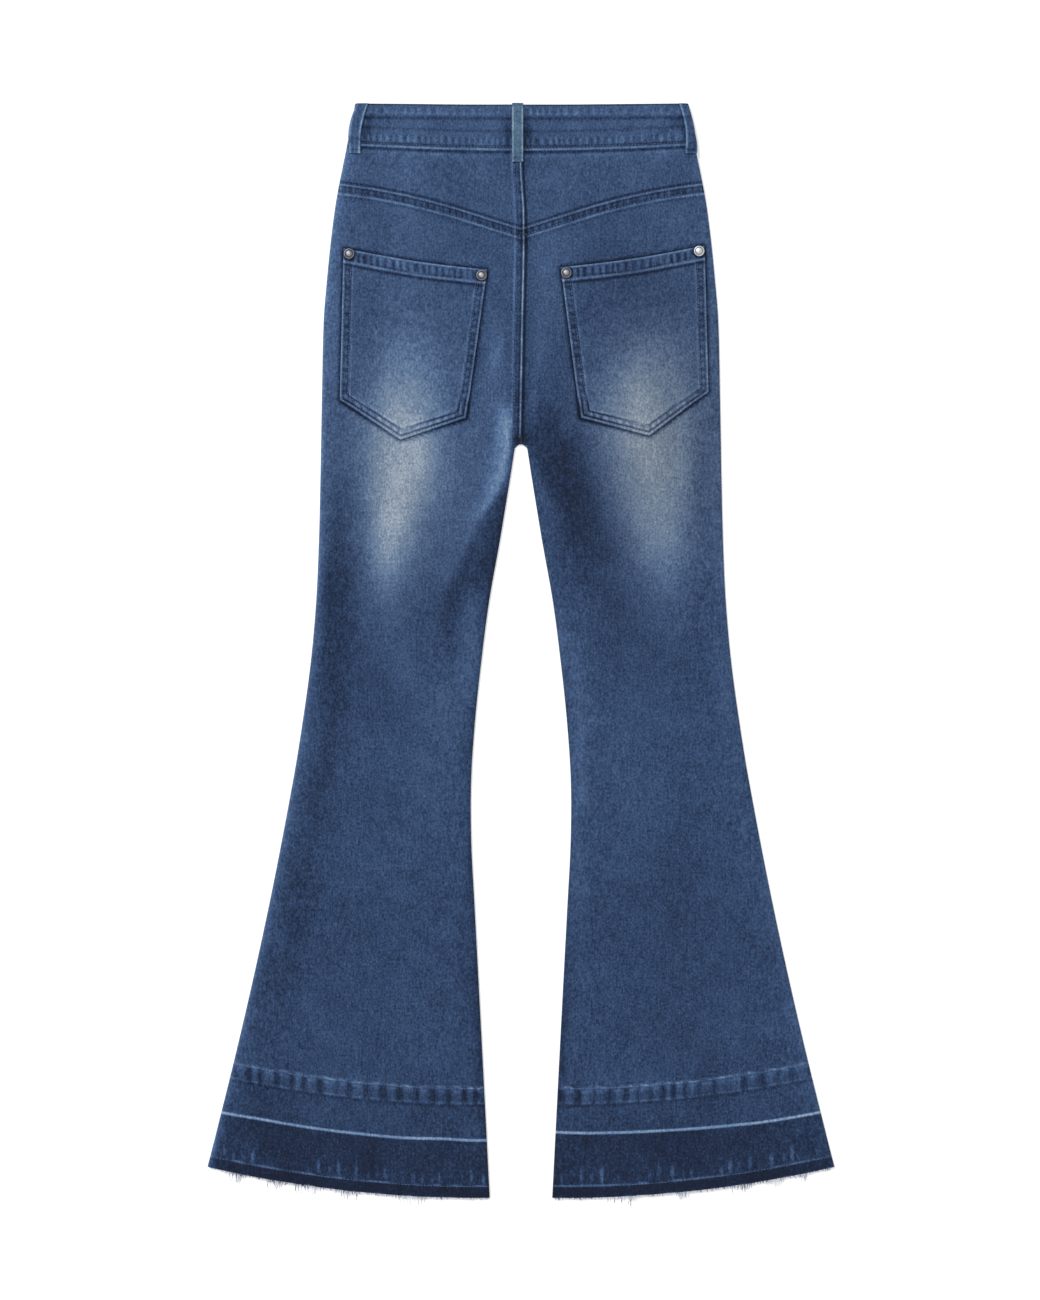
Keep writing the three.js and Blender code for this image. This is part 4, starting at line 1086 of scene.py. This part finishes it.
def make_pocket(side):
    outer_top, inner_top, inner_foot, point, outer_foot = np.array(POCKETS[side], float)
    u = spaced((2.4, 0.6), (147.6, 1.6), (150, 0.6))[None, :, None] / 150
    v = spaced((3, 0.6), (12, 1.8), (18, 0.9), (148, 1.8), (152, 0.7))[:, None, None] / 152
    top = lerp(outer_top, inner_top, u) + np.sin(np.pi * u) * np.array([0, POCKET_SAG])
    foot = np.where(
        u < 0.5, lerp(outer_foot, point, 2 * u), lerp(point, inner_foot, 2 * u - 1)
    )
    spots = lerp(top, foot, v)
    x, drop = side * spots[..., 0], spots[..., 1]
    outer = np.stack([x, TOP_Y - drop, pocket_top(side, x, drop)], axis=-1)
    inner = np.stack([x, TOP_Y - drop, cloth_top(x, drop) + POCKET_GAP - 0.15], axis=-1)
    tone = pocket_tone(side, x, drop)
    return wall(f"back_pocket_cloth_{WORD[side]}", outer, inner, tone, CLOTH_FACES), outer


# Belt loops


def under_loop(x, drop):
    seam = waist_seam(x)
    fell = np.where(np.abs(x) < FELL + LOOP_WIDTH, 0.5, 0)
    step = smoothstep(seam + 1, seam + 7, drop)
    return lerp(upper(x, drop) + BAND_STAND, upper(x, drop) + fell, step)


def seat_flat(spot, drop):
    return spot, under_loop(spot, drop), 0 * spot, 0 * spot + 1


def seat_side(side):
    """Places for a loop by the fold, measured inwards from it along the cloth."""

    def seat(spot, drop):
        edge = outer_half(drop)
        x = side * (edge - FOLD_REACH - np.clip(spot, 0, None))
        top = under_loop(x, drop)
        angle = np.radians(90 + 90 * np.minimum(spot, 0) / FOLD_ARC)
        middle, high = (top + lift(drop)) / 2, (top - lift(drop)) / 2
        x = x + side * FOLD_REACH * np.cos(angle)
        return x, middle + high * np.sin(angle), side * np.cos(angle), np.sin(angle)

    return seat


def bowed(top, foot, bow):
    """The slanting, bowed middle line of a side loop, measured inwards from the fold."""

    def middle(drop):
        v = np.clip(drop / SIDE_LOOP_LENGTH, 0, 1)
        return lerp(top, foot, v) - bow * np.sin(np.pi * v)

    return middle


def loop_grid():
    across = np.array([-5.85, -5.5, -5, -4.4, -3.6, -2.4, -1.2, 0, 1.2, 2.4, 3.6, 4.4, 5, 5.5, 5.85])
    v = spaced((2, 0.5), (52, 1.2), (60, 0.6))[:, None] / 60
    edge = LOOP_WIDTH / 2 - np.abs(across)[None, :]
    return across, v, edge


def loop_tone(v, across, seed, base, lit=0.0):
    edge = LOOP_WIDTH / 2 - np.abs(across)[None, :]
    worn = 0.75 + 0.25 * uneven(v * LOOP_LENGTH, 14, seed)
    tone = base + 0.03 * uneven(v * LOOP_LENGTH, 9, seed + 1) + 0.19 * worn * line(edge, 1.1, 1.1)
    # The dark lines are painted shade in the stitched grooves and at the sewn ends; lit adds painted light near
    # one edge.
    tone = tone - 0.07 * line(edge, 2.5, 0.7) + lit * worn * line(across, 4.2, 1.3)[None, :]
    tone = tone - 0.1 * line(v, 0.93, 0.012) + 0.06 * line(v, 0.985, 0.012) - 0.12 * line(v, 0, 0.02)
    return tone


def make_loop(name, length, middle, seat, seed, base, lit, cloth):
    """A belt loop across the waistband, standing off it between its sewn ends."""
    across, v, edge = loop_grid()
    drop = LOOP_TOP + length * v
    x, z, nx, nz = seat(middle(drop) + across[None, :], drop)
    rounded = np.sqrt(1 - (1 - np.clip(edge / 0.9, 0, 1)) ** 2)
    low = LOOP_CLEAR + LOOP_STAND * np.sin(np.pi * np.clip(v, 0, 1)) ** 0.7 - 0.15
    groove = line(edge, 2.4, 0.6) + line(v, 0.93, 0.012)
    high = low + LOOP_CLOTH * lerp(0.45, 1, rounded) - 0.22 * groove + 0.25 * smoothstep(0.9, 0.92, v)
    drop = drop + 0 * x
    outer, inner = (
        np.stack([x + nx * off, TOP_Y - drop, z + nz * off], axis=-1) for off in (high, low)
    )
    return wall(name, outer, inner, loop_tone(v, across, seed, base, lit), [cloth]), outer


def make_front_loop(side):
    """A belt loop of the front, which lies between the waistband and the table."""
    across, v, edge = loop_grid()
    across = across[None, :]
    drop = 1.5 + (LOOP_LENGTH - 4) * v + 0 * across
    x = side * (FRONT_LOOP_HALF + across) + 0 * v
    slack = 0.7 * (1 - np.sin(np.pi * np.clip(v, 0, 1)) ** 0.5)
    low = slack + 0.35 * (1 - np.clip(edge / 0.9, 0, 1)) ** 2 + 0.15 * line(edge, 2.4, 0.6)
    outer = np.stack([x, TOP_Y - drop, low], axis=-1)
    inner = np.stack([x, TOP_Y - drop, slack + CLOTH + 0 * x], axis=-1)
    tone = loop_tone(v, across[0], 91 + side, 0.36)
    return wall(f"belt_loop_front_cloth_{WORD[side]}", outer, inner, tone, [LOOP_BLUE]), outer


# Cloth pieces of the front, outer face down


def front(name, side, top_line, bottom_line, downs, across, inner_edge, outer_edge, thick, tone_of):
    s = np.linspace(0, 1, across + 1)
    table = np.stack([1 - s, s, 0 * s, 0 * s], axis=1)
    v = np.clip(downs / (bottom_line(0.0) - top_line(0.0)), 0, 1)
    half, drop = spread(top_line, bottom_line, v, table, inner_edge, outer_edge)
    x = side * half
    hollow = pressed(x, drop)
    if thick == BAND_CLOTH:
        hollow = 0 * hollow
    outer = np.stack([x, TOP_Y - drop, lift(drop) + hollow], axis=-1)
    inner = np.stack([x, TOP_Y - drop, lift(drop) + hollow + thick], axis=-1)
    return wall(name, outer, inner, tone_of(x, drop), CLOTH_FACES), outer


def make_front(side):
    word = WORD[side]
    top, bottom = below(waist_seam, GAP / 2), below(hem_seam, -GAP / 2)

    def leg_inner(drop):
        fly = fly_edge(drop) + GAP if side == LEFT else 0 * drop
        return np.maximum(front_inner(side, drop), fly)

    def leg_outer(drop):
        return np.minimum(side_seam(drop), scoop(drop) - SCOOP_CLEAR)

    leg = front(
        f"front_leg_cloth_{word}", side, top, bottom, spaced((160, 2.5), (960.5, 6)), 34,
        leg_inner, leg_outer, CLOTH, front_tone,
    )
    facing = front(
        f"front_pocket_facing_cloth_{word}", side, top, lambda x: SCOOP_TOP + 0.97 * SCOOP_DEPTH + 0 * x,
        spaced((85.15, 2.5)), 20, scoop, side_seam, CLOTH, front_tone,
    )
    hem = front(
        f"hem_front_cloth_{word}", side, below(hem_seam, GAP / 2), below(raw_edge, -1),
        spaced((18, 1.6), (42, 4), (58, 1), (96, 4), (111.85, 1.2)), 90,
        lambda d: front_inner(side, d), side_seam, CLOTH, cloth_tone,
    )
    band = front(
        f"waistband_front_cloth_{word}", side, top_edge, below(waist_seam, -GAP / 2),
        spaced((48, 1.6)), 44, lambda d: 0 * d + (-BAND_LAP if side == LEFT else BAND_LAP + GAP),
        side_seam, BAND_CLOTH, lambda x, d: band_tone(x, d, front_wash),
    )
    return leg, facing, hem, band


def make_fly():
    return front(
        "fly_cloth", LEFT, below(waist_seam, GAP / 2), lambda x: FLY_END - 1 + 0 * x,
        spaced((155, 2.2)), 14, lambda d: 0 * d + GAP / 2, fly_edge, CLOTH, front_tone,
    )


# Rivets and button, turned shapes with a tone at each ring


def turned(name, profile, place, sides, flip=1):
    """A closed turned shape from rings, as (radius, height, tone), from its foot to its top."""
    rings = np.array(profile, float)
    angle = np.linspace(0, 2 * np.pi, sides, endpoint=False)
    ring = np.stack([np.cos(angle), np.sin(angle)], axis=1)
    points = [(0, 0, rings[0, 1])]
    tones = [rings[0, 2]]
    for radius, height, tone in rings:
        points += [(*(radius * spot), height) for spot in ring]
        tones += [tone] * sides
    points.append((0, 0, rings[-1, 1]))
    tones.append(rings[-1, 2])
    faces = []
    for i in range(sides):
        j = (i + 1) % sides
        faces.append((0, 1 + j, 1 + i))
        for level in range(len(rings) - 1):
            a, b = 1 + level * sides, 1 + (level + 1) * sides
            faces.append((a + i, a + j, b + j, b + i))
        last = 1 + (len(rings) - 1) * sides
        faces.append((last + i, last + j, len(points) - 1))
    if flip < 0:
        faces = [face[::-1] for face in faces]
    placed = (np.array(points) * (1, 1, flip) + place) * MM
    mesh = bpy.data.meshes.new(name)
    mesh.from_pydata(placed.tolist(), [], faces)
    mesh.materials.append(SILVER)
    mesh.attributes.new("tone", "FLOAT", "POINT").data.foreach_set("value", np.array(tones, np.float32))
    mesh.shade_smooth()
    mesh.set_sharp_from_angle(angle=0.7)
    made = bpy.data.objects.new(name, mesh)
    bpy.context.scene.collection.objects.link(made)
    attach(made, BODY)
    return made


# From foot to top: a thin flange, a beaded rim, a dark ring and a low dome
RIVET_PROFILE = [
    (4.8, 0, 0.25), (5.25, 0.12, 0.3), (5.3, 0.35, 0.5), (5.1, 0.62, 0.62), (4.7, 0.78, 0.55),
    (4.3, 0.72, 0.3), (3.95, 0.6, 0.08), (3.6, 0.62, 0.1), (3.3, 0.85, 0.35), (2.8, 1.12, 0.55),
    (2.1, 1.38, 0.65), (1.2, 1.56, 0.75), (0.5, 1.6, 0.8),
]
BUTTON_PROFILE = [
    (7.3, 0, 0.3), (8.3, 0.25, 0.5), (8.5, 0.8, 0.7), (8.3, 1.35, 0.9), (7.7, 1.7, 0.95),
    (7.1, 1.6, 0.5), (6.7, 1.35, 0.2), (6.2, 1.4, 0.35), (5.9, 1.75, 0.8), (5.3, 1.85, 0.7),
    (4.9, 1.7, 0.3), (4.4, 1.75, 0.4), (2.6, 2.05, 0.65), (0.8, 2.1, 0.7),
]


def make_rivets(side):
    for place, x, drop in rivet_spots(side):
        seat = float(pocket_top(side, np.array(x), np.array(drop))) - 0.1
        # The right outer rivet is drawn brighter than the others.
        brighter_by = 0.45 if (side, place) == (RIGHT, "outer") else 0.04
        profile = [(radius, height, tone + brighter_by) for radius, height, tone in RIVET_PROFILE]
        made = turned(f"rivet_cap_{WORD[side]}_{place}", profile, (x, TOP_Y - drop, seat), 40)
        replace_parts(made, f"rivet_{WORD[side]}_{place}")


def make_button():
    low, high = (Vector(corner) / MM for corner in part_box("button"))
    place = ((low.x + high.x) / 2, (low.y + high.y) / 2, high.z)
    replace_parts(turned("shank_button", BUTTON_PROFILE, place, 48, flip=-1), "button")


# The closed zip behind the fly, as teeth of a size along, across and high, on a tape
TOOTH_PITCH = 1.6
TOOTH = np.array([3.6, 0.95, 1.1])


def make_zip():
    low, high = (Vector(corner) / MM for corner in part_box("zip"))
    drop = np.linspace(TOP_Y - high.y, TOP_Y - low.y, 90)[:, None]
    x = np.linspace(low.x, high.x, 25)[None, :]
    bottom = lift(drop) + CLOTH + GAP + 0.1 + 0 * x
    grid = [x + 0 * drop, TOP_Y - drop + 0 * x]
    outer, inner = np.stack([*grid, bottom], axis=-1), np.stack([*grid, bottom + 0.6], axis=-1)
    tape = wall("zip_tape_cloth", outer, inner, 0.2 + 0 * bottom, [TAPE])
    lay(tape, outer, ["zip"], "zip_tape", ["fly_cloth"])

    corners = np.array([(i, j, k) for i in (-0.5, 0.5) for j in (-0.5, 0.5) for k in (-0.5, 0.5)])
    sides = np.array([(0, 1, 3, 2), (4, 6, 7, 5), (0, 4, 5, 1), (2, 3, 7, 6), (0, 2, 6, 4), (1, 5, 7, 3)])
    drops = np.arange(TOP_Y - high.y + 3, TOP_Y - low.y - 3, TOOTH_PITCH)
    lean = 0.7 * (-1.0) ** np.arange(len(drops))
    places = np.stack([(low.x + high.x) / 2 + lean, TOP_Y - drops, lift(drops) + CLOTH + GAP + 1.1], axis=1)
    points = (places[:, None, :] + corners * TOOTH).reshape(-1, 3) * MM
    faces = (np.arange(len(drops))[:, None, None] * 8 + sides).reshape(-1, 4)
    mesh = bpy.data.meshes.new("zip_teeth")
    mesh.from_pydata(points.tolist(), [], faces.tolist())
    mesh.materials.append(SILVER)
    mesh.attributes.new("tone", "FLOAT", "POINT").data.foreach_set("value", [0.55] * len(points))
    teeth = bpy.data.objects.new("zip_teeth", mesh)
    bpy.context.scene.collection.objects.link(teeth)
    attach(teeth, BODY)


# Sewing threads and frayed yarns


def geometry_tree(name, inputs):
    """An empty geometry tree with its named inputs, given as {name: kind of socket}."""
    tree = bpy.data.node_groups.new(name, "GeometryNodeTree")
    tree.interface.new_socket("Geometry", in_out="OUTPUT", socket_type="NodeSocketGeometry")
    for key, kind in {"Path": "Geometry", **inputs}.items():
        tree.interface.new_socket(key, in_out="INPUT", socket_type=f"NodeSocket{kind}")
    return tree, tree.nodes.new("NodeGroupInput").outputs, tree.nodes.new("NodeGroupOutput").inputs


def stitch_tree():
    """Stitches along paths: long beads laid end to end."""
    inputs = {"Pitch": "Float", "Length": "Float", "Width": "Float", "Height": "Float"}
    tree, given, out = geometry_tree("topstitch", {**inputs, "Seed": "Int", "Thread": "Material"})
    curve = node(tree, "GeometryNodeMeshToCurve", {"Mesh": given["Path"]})
    spots = node(
        tree, "GeometryNodeResampleCurve", {"Curve": curve.outputs[0], "Length": given["Pitch"]}, mode="LENGTH"
    )
    bead = node(tree, "GeometryNodeMeshUVSphere", {"Segments": 6, "Rings": 4, "Radius": 0.5})
    tangent = node(tree, "GeometryNodeInputTangent").outputs[0]
    turn = node(tree, "FunctionNodeAlignRotationToVector", {"Vector": tangent}, axis="X")
    vary = node(tree, "FunctionNodeRandomValue", {2: 0.8, 3: 1.1, "Seed": given["Seed"]}, data_type="FLOAT")
    length = node(tree, "ShaderNodeMath", {0: given["Length"], 1: vary.outputs[1]}, operation="MULTIPLY")
    size = node(
        tree, "ShaderNodeCombineXYZ", {"X": length.outputs[0], "Y": given["Width"], "Z": given["Height"]}
    )
    beads = node(tree, "GeometryNodeInstanceOnPoints", {
        "Points": spots.outputs[0], "Instance": bead.outputs[0],
        "Rotation": turn.outputs[0], "Scale": size.outputs[0],
    })
    real = node(tree, "GeometryNodeRealizeInstances", {"Geometry": beads.outputs[0]})
    done = node(tree, "GeometryNodeSetMaterial", {"Geometry": real.outputs[0], "Material": given["Thread"]})
    tree.links.new(done.outputs[0], out[0])
    return tree


def yarn_tree():
    """Loose yarns hanging from a path, few of them long, each a bent tapering strand."""
    inputs = {"Count": "Int", "Shortest": "Float", "Longest": "Float", "Power": "Float", "Lean": "Float"}
    tree, given, out = geometry_tree(
        "loose_yarns", {**inputs, "Radius": "Float", "Seed": "Int", "Yarn": "Material"}
    )

    def math(operation, a, b):
        return node(tree, "ShaderNodeMath", {0: a, 1: b}, operation=operation).outputs[0]

    def chance(low, high, more):
        seed = math("ADD", given["Seed"], more)
        return node(
            tree, "FunctionNodeRandomValue", {2: low, 3: high, "Seed": seed}, data_type="FLOAT"
        ).outputs[1]

    curve = node(tree, "GeometryNodeMeshToCurve", {"Mesh": given["Path"]})
    spots = node(
        tree, "GeometryNodeResampleCurve", {"Curve": curve.outputs[0], "Count": given["Count"]}, mode="COUNT"
    )
    shift = node(tree, "ShaderNodeCombineXYZ", {"X": chance(-0.002, 0.002, 5), "Y": chance(-0.0004, 0.0008, 6)})
    moved = node(tree, "GeometryNodeSetPosition", {"Geometry": spots.outputs[0], "Offset": shift.outputs[0]})
    strand = node(tree, "GeometryNodeCurveQuadraticBezier", {
        "Resolution": 5, "Start": (0, 0, 0), "Middle": (0.3, -0.55, 0.06), "End": (-0.05, -1, -0.12),
    })
    share = math("POWER", chance(0.0, 1.0, 1), given["Power"])
    size = math("ADD", given["Shortest"], math("MULTIPLY", share, math("SUBTRACT", given["Longest"], given["Shortest"])))
    bend = math("MULTIPLY", size, chance(-0.6, 0.6, 2))
    scale = node(tree, "ShaderNodeCombineXYZ", {"X": bend, "Y": size, "Z": size})
    lean = math("MULTIPLY", given["Lean"], chance(-1.0, 1.0, 3))
    turn = node(tree, "ShaderNodeCombineXYZ", {"X": chance(-0.1, 0.25, 4), "Z": lean})
    strands = node(tree, "GeometryNodeInstanceOnPoints", {
        "Points": moved.outputs[0], "Instance": strand.outputs[0],
        "Rotation": turn.outputs[0], "Scale": scale.outputs[0],
    })
    real = node(tree, "GeometryNodeRealizeInstances", {"Geometry": strands.outputs[0]})
    taper = math("SUBTRACT", 1.0, math("MULTIPLY", node(tree, "GeometryNodeSplineParameter").outputs[0], 0.5))
    radius = math("MULTIPLY", given["Radius"], taper)
    ring = node(tree, "GeometryNodeCurvePrimitiveCircle", {"Resolution": 4, "Radius": 1.0})
    skin = node(tree, "GeometryNodeCurveToMesh", {
        "Curve": real.outputs[0], "Profile Curve": ring.outputs[0], "Scale": radius, "Fill Caps": True,
    })
    done = node(tree, "GeometryNodeSetMaterial", {"Geometry": skin.outputs[0], "Material": given["Yarn"]})
    tree.links.new(done.outputs[0], out[0])
    return tree


def grow(name, paths, tree, **settings):
    """The plain mesh that a tree makes along paths in millimetres."""
    points, edges = [], []
    for path in paths:
        edges += [(len(points) + i, len(points) + i + 1) for i in range(len(path) - 1)]
        points += (np.array(path) * MM).tolist()
    mesh = bpy.data.meshes.new(name)
    mesh.from_pydata(points, edges, [])
    holder = bpy.data.objects.new(name, mesh)
    bpy.context.scene.collection.objects.link(holder)
    modifier = holder.modifiers.new("grow", "NODES")
    modifier.node_group = tree
    sockets = {item.name: item.identifier for item in tree.interface.items_tree}
    for key, value in settings.items():
        modifier[sockets[key]] = value
    evaluated = holder.evaluated_get(bpy.context.evaluated_depsgraph_get())
    holder.data = bpy.data.meshes.new_from_object(evaluated)
    holder.modifiers.remove(modifier)
    holder.data.shade_smooth()
    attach(holder, BODY)
    return holder


def on_cloth(x, drop, top_of, out=0.1):
    x, drop = np.asarray(x, float), np.asarray(drop, float)
    return np.stack([x, TOP_Y - drop, top_of(x, drop) + out], axis=1)


def sewing_lines(side):
    """Paths of the topstitching on one side of the back."""
    reach = np.linspace(0, 1, 120)
    half = lerp(2, outer_half(80) - 5, reach)
    for down in (1.9, 7.9):
        yield on_cloth(side * half, yoke_seam(half) + down / 0.96, cloth_top)
    for seam, down in ((hem_seam, 1.2), (raw_edge, -11.5)):
        start = inner_half(seam(40) + down) + 3
        half = lerp(start, outer_half(seam(300) + down) - 5, np.linspace(0, 1, 200))
        yield on_cloth(side * half, seam(half) + down, cloth_top)

    def top_of(x, drop):
        return pocket_top(side, x, drop)

    outer_top, inner_top, inner_foot, point, outer_foot = POCKETS[side]
    round_it = [outer_top, outer_foot, point, inner_foot, inner_top]
    for distance in (2.2, 8):
        path = along(inset(round_it, distance), 2)
        path = path[(path[:, 1] > pocket_hem_line(side, path[:, 0]) + 1)]
        yield on_cloth(side * path[:, 0], path[:, 1], top_of)
    half = lerp(outer_top[0] - 2, inner_top[0] + 2, reach)
    yield on_cloth(side * half, pocket_hem_line(side, half), top_of)


def pocket_hem_line(side, half):
    """Drop of the stitching that holds a pocket's turned top."""
    start, end = POCKETS[side][:2]
    share = np.clip((start[0] - half) / (start[0] - end[0]), 0, 1)
    return lerp(start[1], end[1], share) + 13.2 + POCKET_SAG * np.sin(np.pi * share)


def front_lines(side):
    """Paths of the topstitching on one side of the front, on its outer face below."""

    def face(x, drop):
        return np.maximum(lift(drop) + pressed(x, drop), STITCH_RADIUS + 0.05)

    def band_face(x, drop):
        return lift(drop)

    drop = np.linspace(SCOOP_TOP + 4, SCOOP_TOP + SCOOP_DEPTH - 8, 60)
    for inwards in (2.2, 8.4):
        yield on_cloth(side * (scoop(drop) - SCOOP_CLEAR - inwards), drop, face, 0)
    for seam, down in ((hem_seam, 1.2), (raw_edge, -11.5)):
        half = np.linspace(inner_half(seam(40)) + 4, side_seam(seam(300)) - 6, 160)
        yield on_cloth(side * half, seam(half) + down, face, 0)
    half = np.linspace(BAND_LAP + 3, side_seam(20) - 4, 120)
    yield on_cloth(side * half, waist_seam(half) - 4.2, band_face, 0)
    yield on_cloth(side * half, top_edge(half) + 2.6, band_face, 0)
    if side == LEFT:
        for inwards in (2.2, 8.4):
            drop = np.linspace(waist_seam(0) + 3, FLY_END - 3 - inwards, 90)
            yield on_cloth(-np.maximum(fly_edge(drop) - inwards, 0.5), drop, face, 0)


def middle_lines():
    """Paths of the topstitching on the waistband, its loop and the centre back seam."""
    x = np.linspace(-170, 170, 240)
    yield on_cloth(x, waist_seam(x) - 4.2, band_top)
    yield on_cloth(x, top_edge(x) + 2.6, band_top)
    drop = np.linspace(waist_seam(0) + 14, CROTCH_DROP - 8, 150)
    for left in (1.9, 7.6):
        yield on_cloth(read(CENTRE_BACK, drop) - left, drop, cloth_top)


SEWING = stitch_tree()
YARNS = yarn_tree()
STITCH_RADIUS = 0.2
STITCH = {
    "Pitch": 3.3 * MM, "Length": 2.9 * MM, "Width": 0.55 * MM, "Height": 2 * STITCH_RADIUS * MM,
}


def make_sewing():
    paths = [*middle_lines()]
    for side in (LEFT, RIGHT):
        paths += [*sewing_lines(side), *front_lines(side)]
    made = grow("topstitching", paths, SEWING, **STITCH, Seed=3, Thread=THREAD)


def make_fray(side):
    """Loose ends of the raw hem: short fuzz, and long yarns in a few clumps."""
    word = WORD[side]
    start, end = inner_half(1120) + 1.5, outer_half(raw_edge(320)) - 4

    def edge_path(start, end, count):
        half = np.linspace(start, end, count)
        return on_cloth(side * half, raw_edge(half) - 0.2, lambda x, d: lipped(x, d) - CLOTH / 2, 0)

    shared = {"Yarn": FRAYED, "Radius": 0.34 * MM}
    fuzz = grow(
        f"hem_fuzz_{word}", [edge_path(start, end, 160)], YARNS, **shared,
        Count=430, Shortest=0.8 * MM, Longest=4 * MM, Power=1.8, Lean=0.7, Seed=40 + side,
    )
    clumps = [edge_path(a, b, 12) for a, b in YARN_CLUMPS[side]]
    yarns = grow(
        f"hem_yarns_{word}", clumps, YARNS, **shared,
        Count=16, Shortest=3 * MM, Longest=12 * MM, Power=1.3, Lean=0.22, Seed=50 + side,
    )
    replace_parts(fuzz, f"hem_fray_{word}")
    return [fuzz.name, yarns.name]


make_camera()
make_light()
make_floor()
bpy.context.scene.view_settings.view_transform = "Standard"

for side in (LEFT, RIGHT):
    word = WORD[side]
    yoke, leg, hem = make_back(side)
    under = f"front_leg_cloth_{word}"
    lay(*yoke, [f"yoke_{word}"], "denim", [under])
    lay(*leg, [f"back_leg_{word}"], "denim", [under])
    lay(*hem, [f"hem_back_{word}"], "dark_denim", [f"hem_front_cloth_{word}"], make_fray(side))
    lay(*make_pocket(side), [f"back_pocket_{word}"], "denim", [leg[0].name])
    make_rivets(side)
    leg, facing, hem, band = make_front(side)
    lay(*leg, [f"front_leg_{word}"], "denim", ["floor"])
    lay(*facing, [f"front_pocket_facing_{word}"], "denim", ["floor"])
    lay(*hem, [f"hem_front_{word}"], "dark_denim", ["floor"])
    lay(*band, [f"waistband_front_{word}"], "denim", [f"belt_loop_front_cloth_{word}"])
    lay(*make_front_loop(side), [f"belt_loop_front_{word}"], "loop_denim", ["floor"])

lay(*make_band(), ["waistband_back"], "denim", ["waistband_front_cloth_left", "waistband_front_cloth_right"])
lay(*make_fly(), ["fly"], "denim", ["floor"])
loops = {
    "centre": (LOOP_LENGTH, lambda drop: LOOP_CENTRE + 0 * drop, seat_flat, 81, 0.365, 0, LOOP_BLUE),
    "side_left": (SIDE_LOOP_LENGTH, bowed(4.9, 6.8, 2.9), seat_side(LEFT), 83, 0.3, 0.12, BLUE),
    "side_right": (SIDE_LOOP_LENGTH, bowed(-0.6, 3, 3.2), seat_side(RIGHT), 85, 0.26, 0.12, BLUE),
}
for word, shape in loops.items():
    made = make_loop(f"belt_loop_cloth_{word}", *shape)
    lay(*made, [f"belt_loop_{word}"], "loop_denim", ["waistband_cloth"])
make_button()
make_zip()
make_sewing()

boxes = {"cad": cad_box, "visual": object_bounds()}
{key: [list(map(float, corner)) for corner in box] for key, box in boxes.items()}
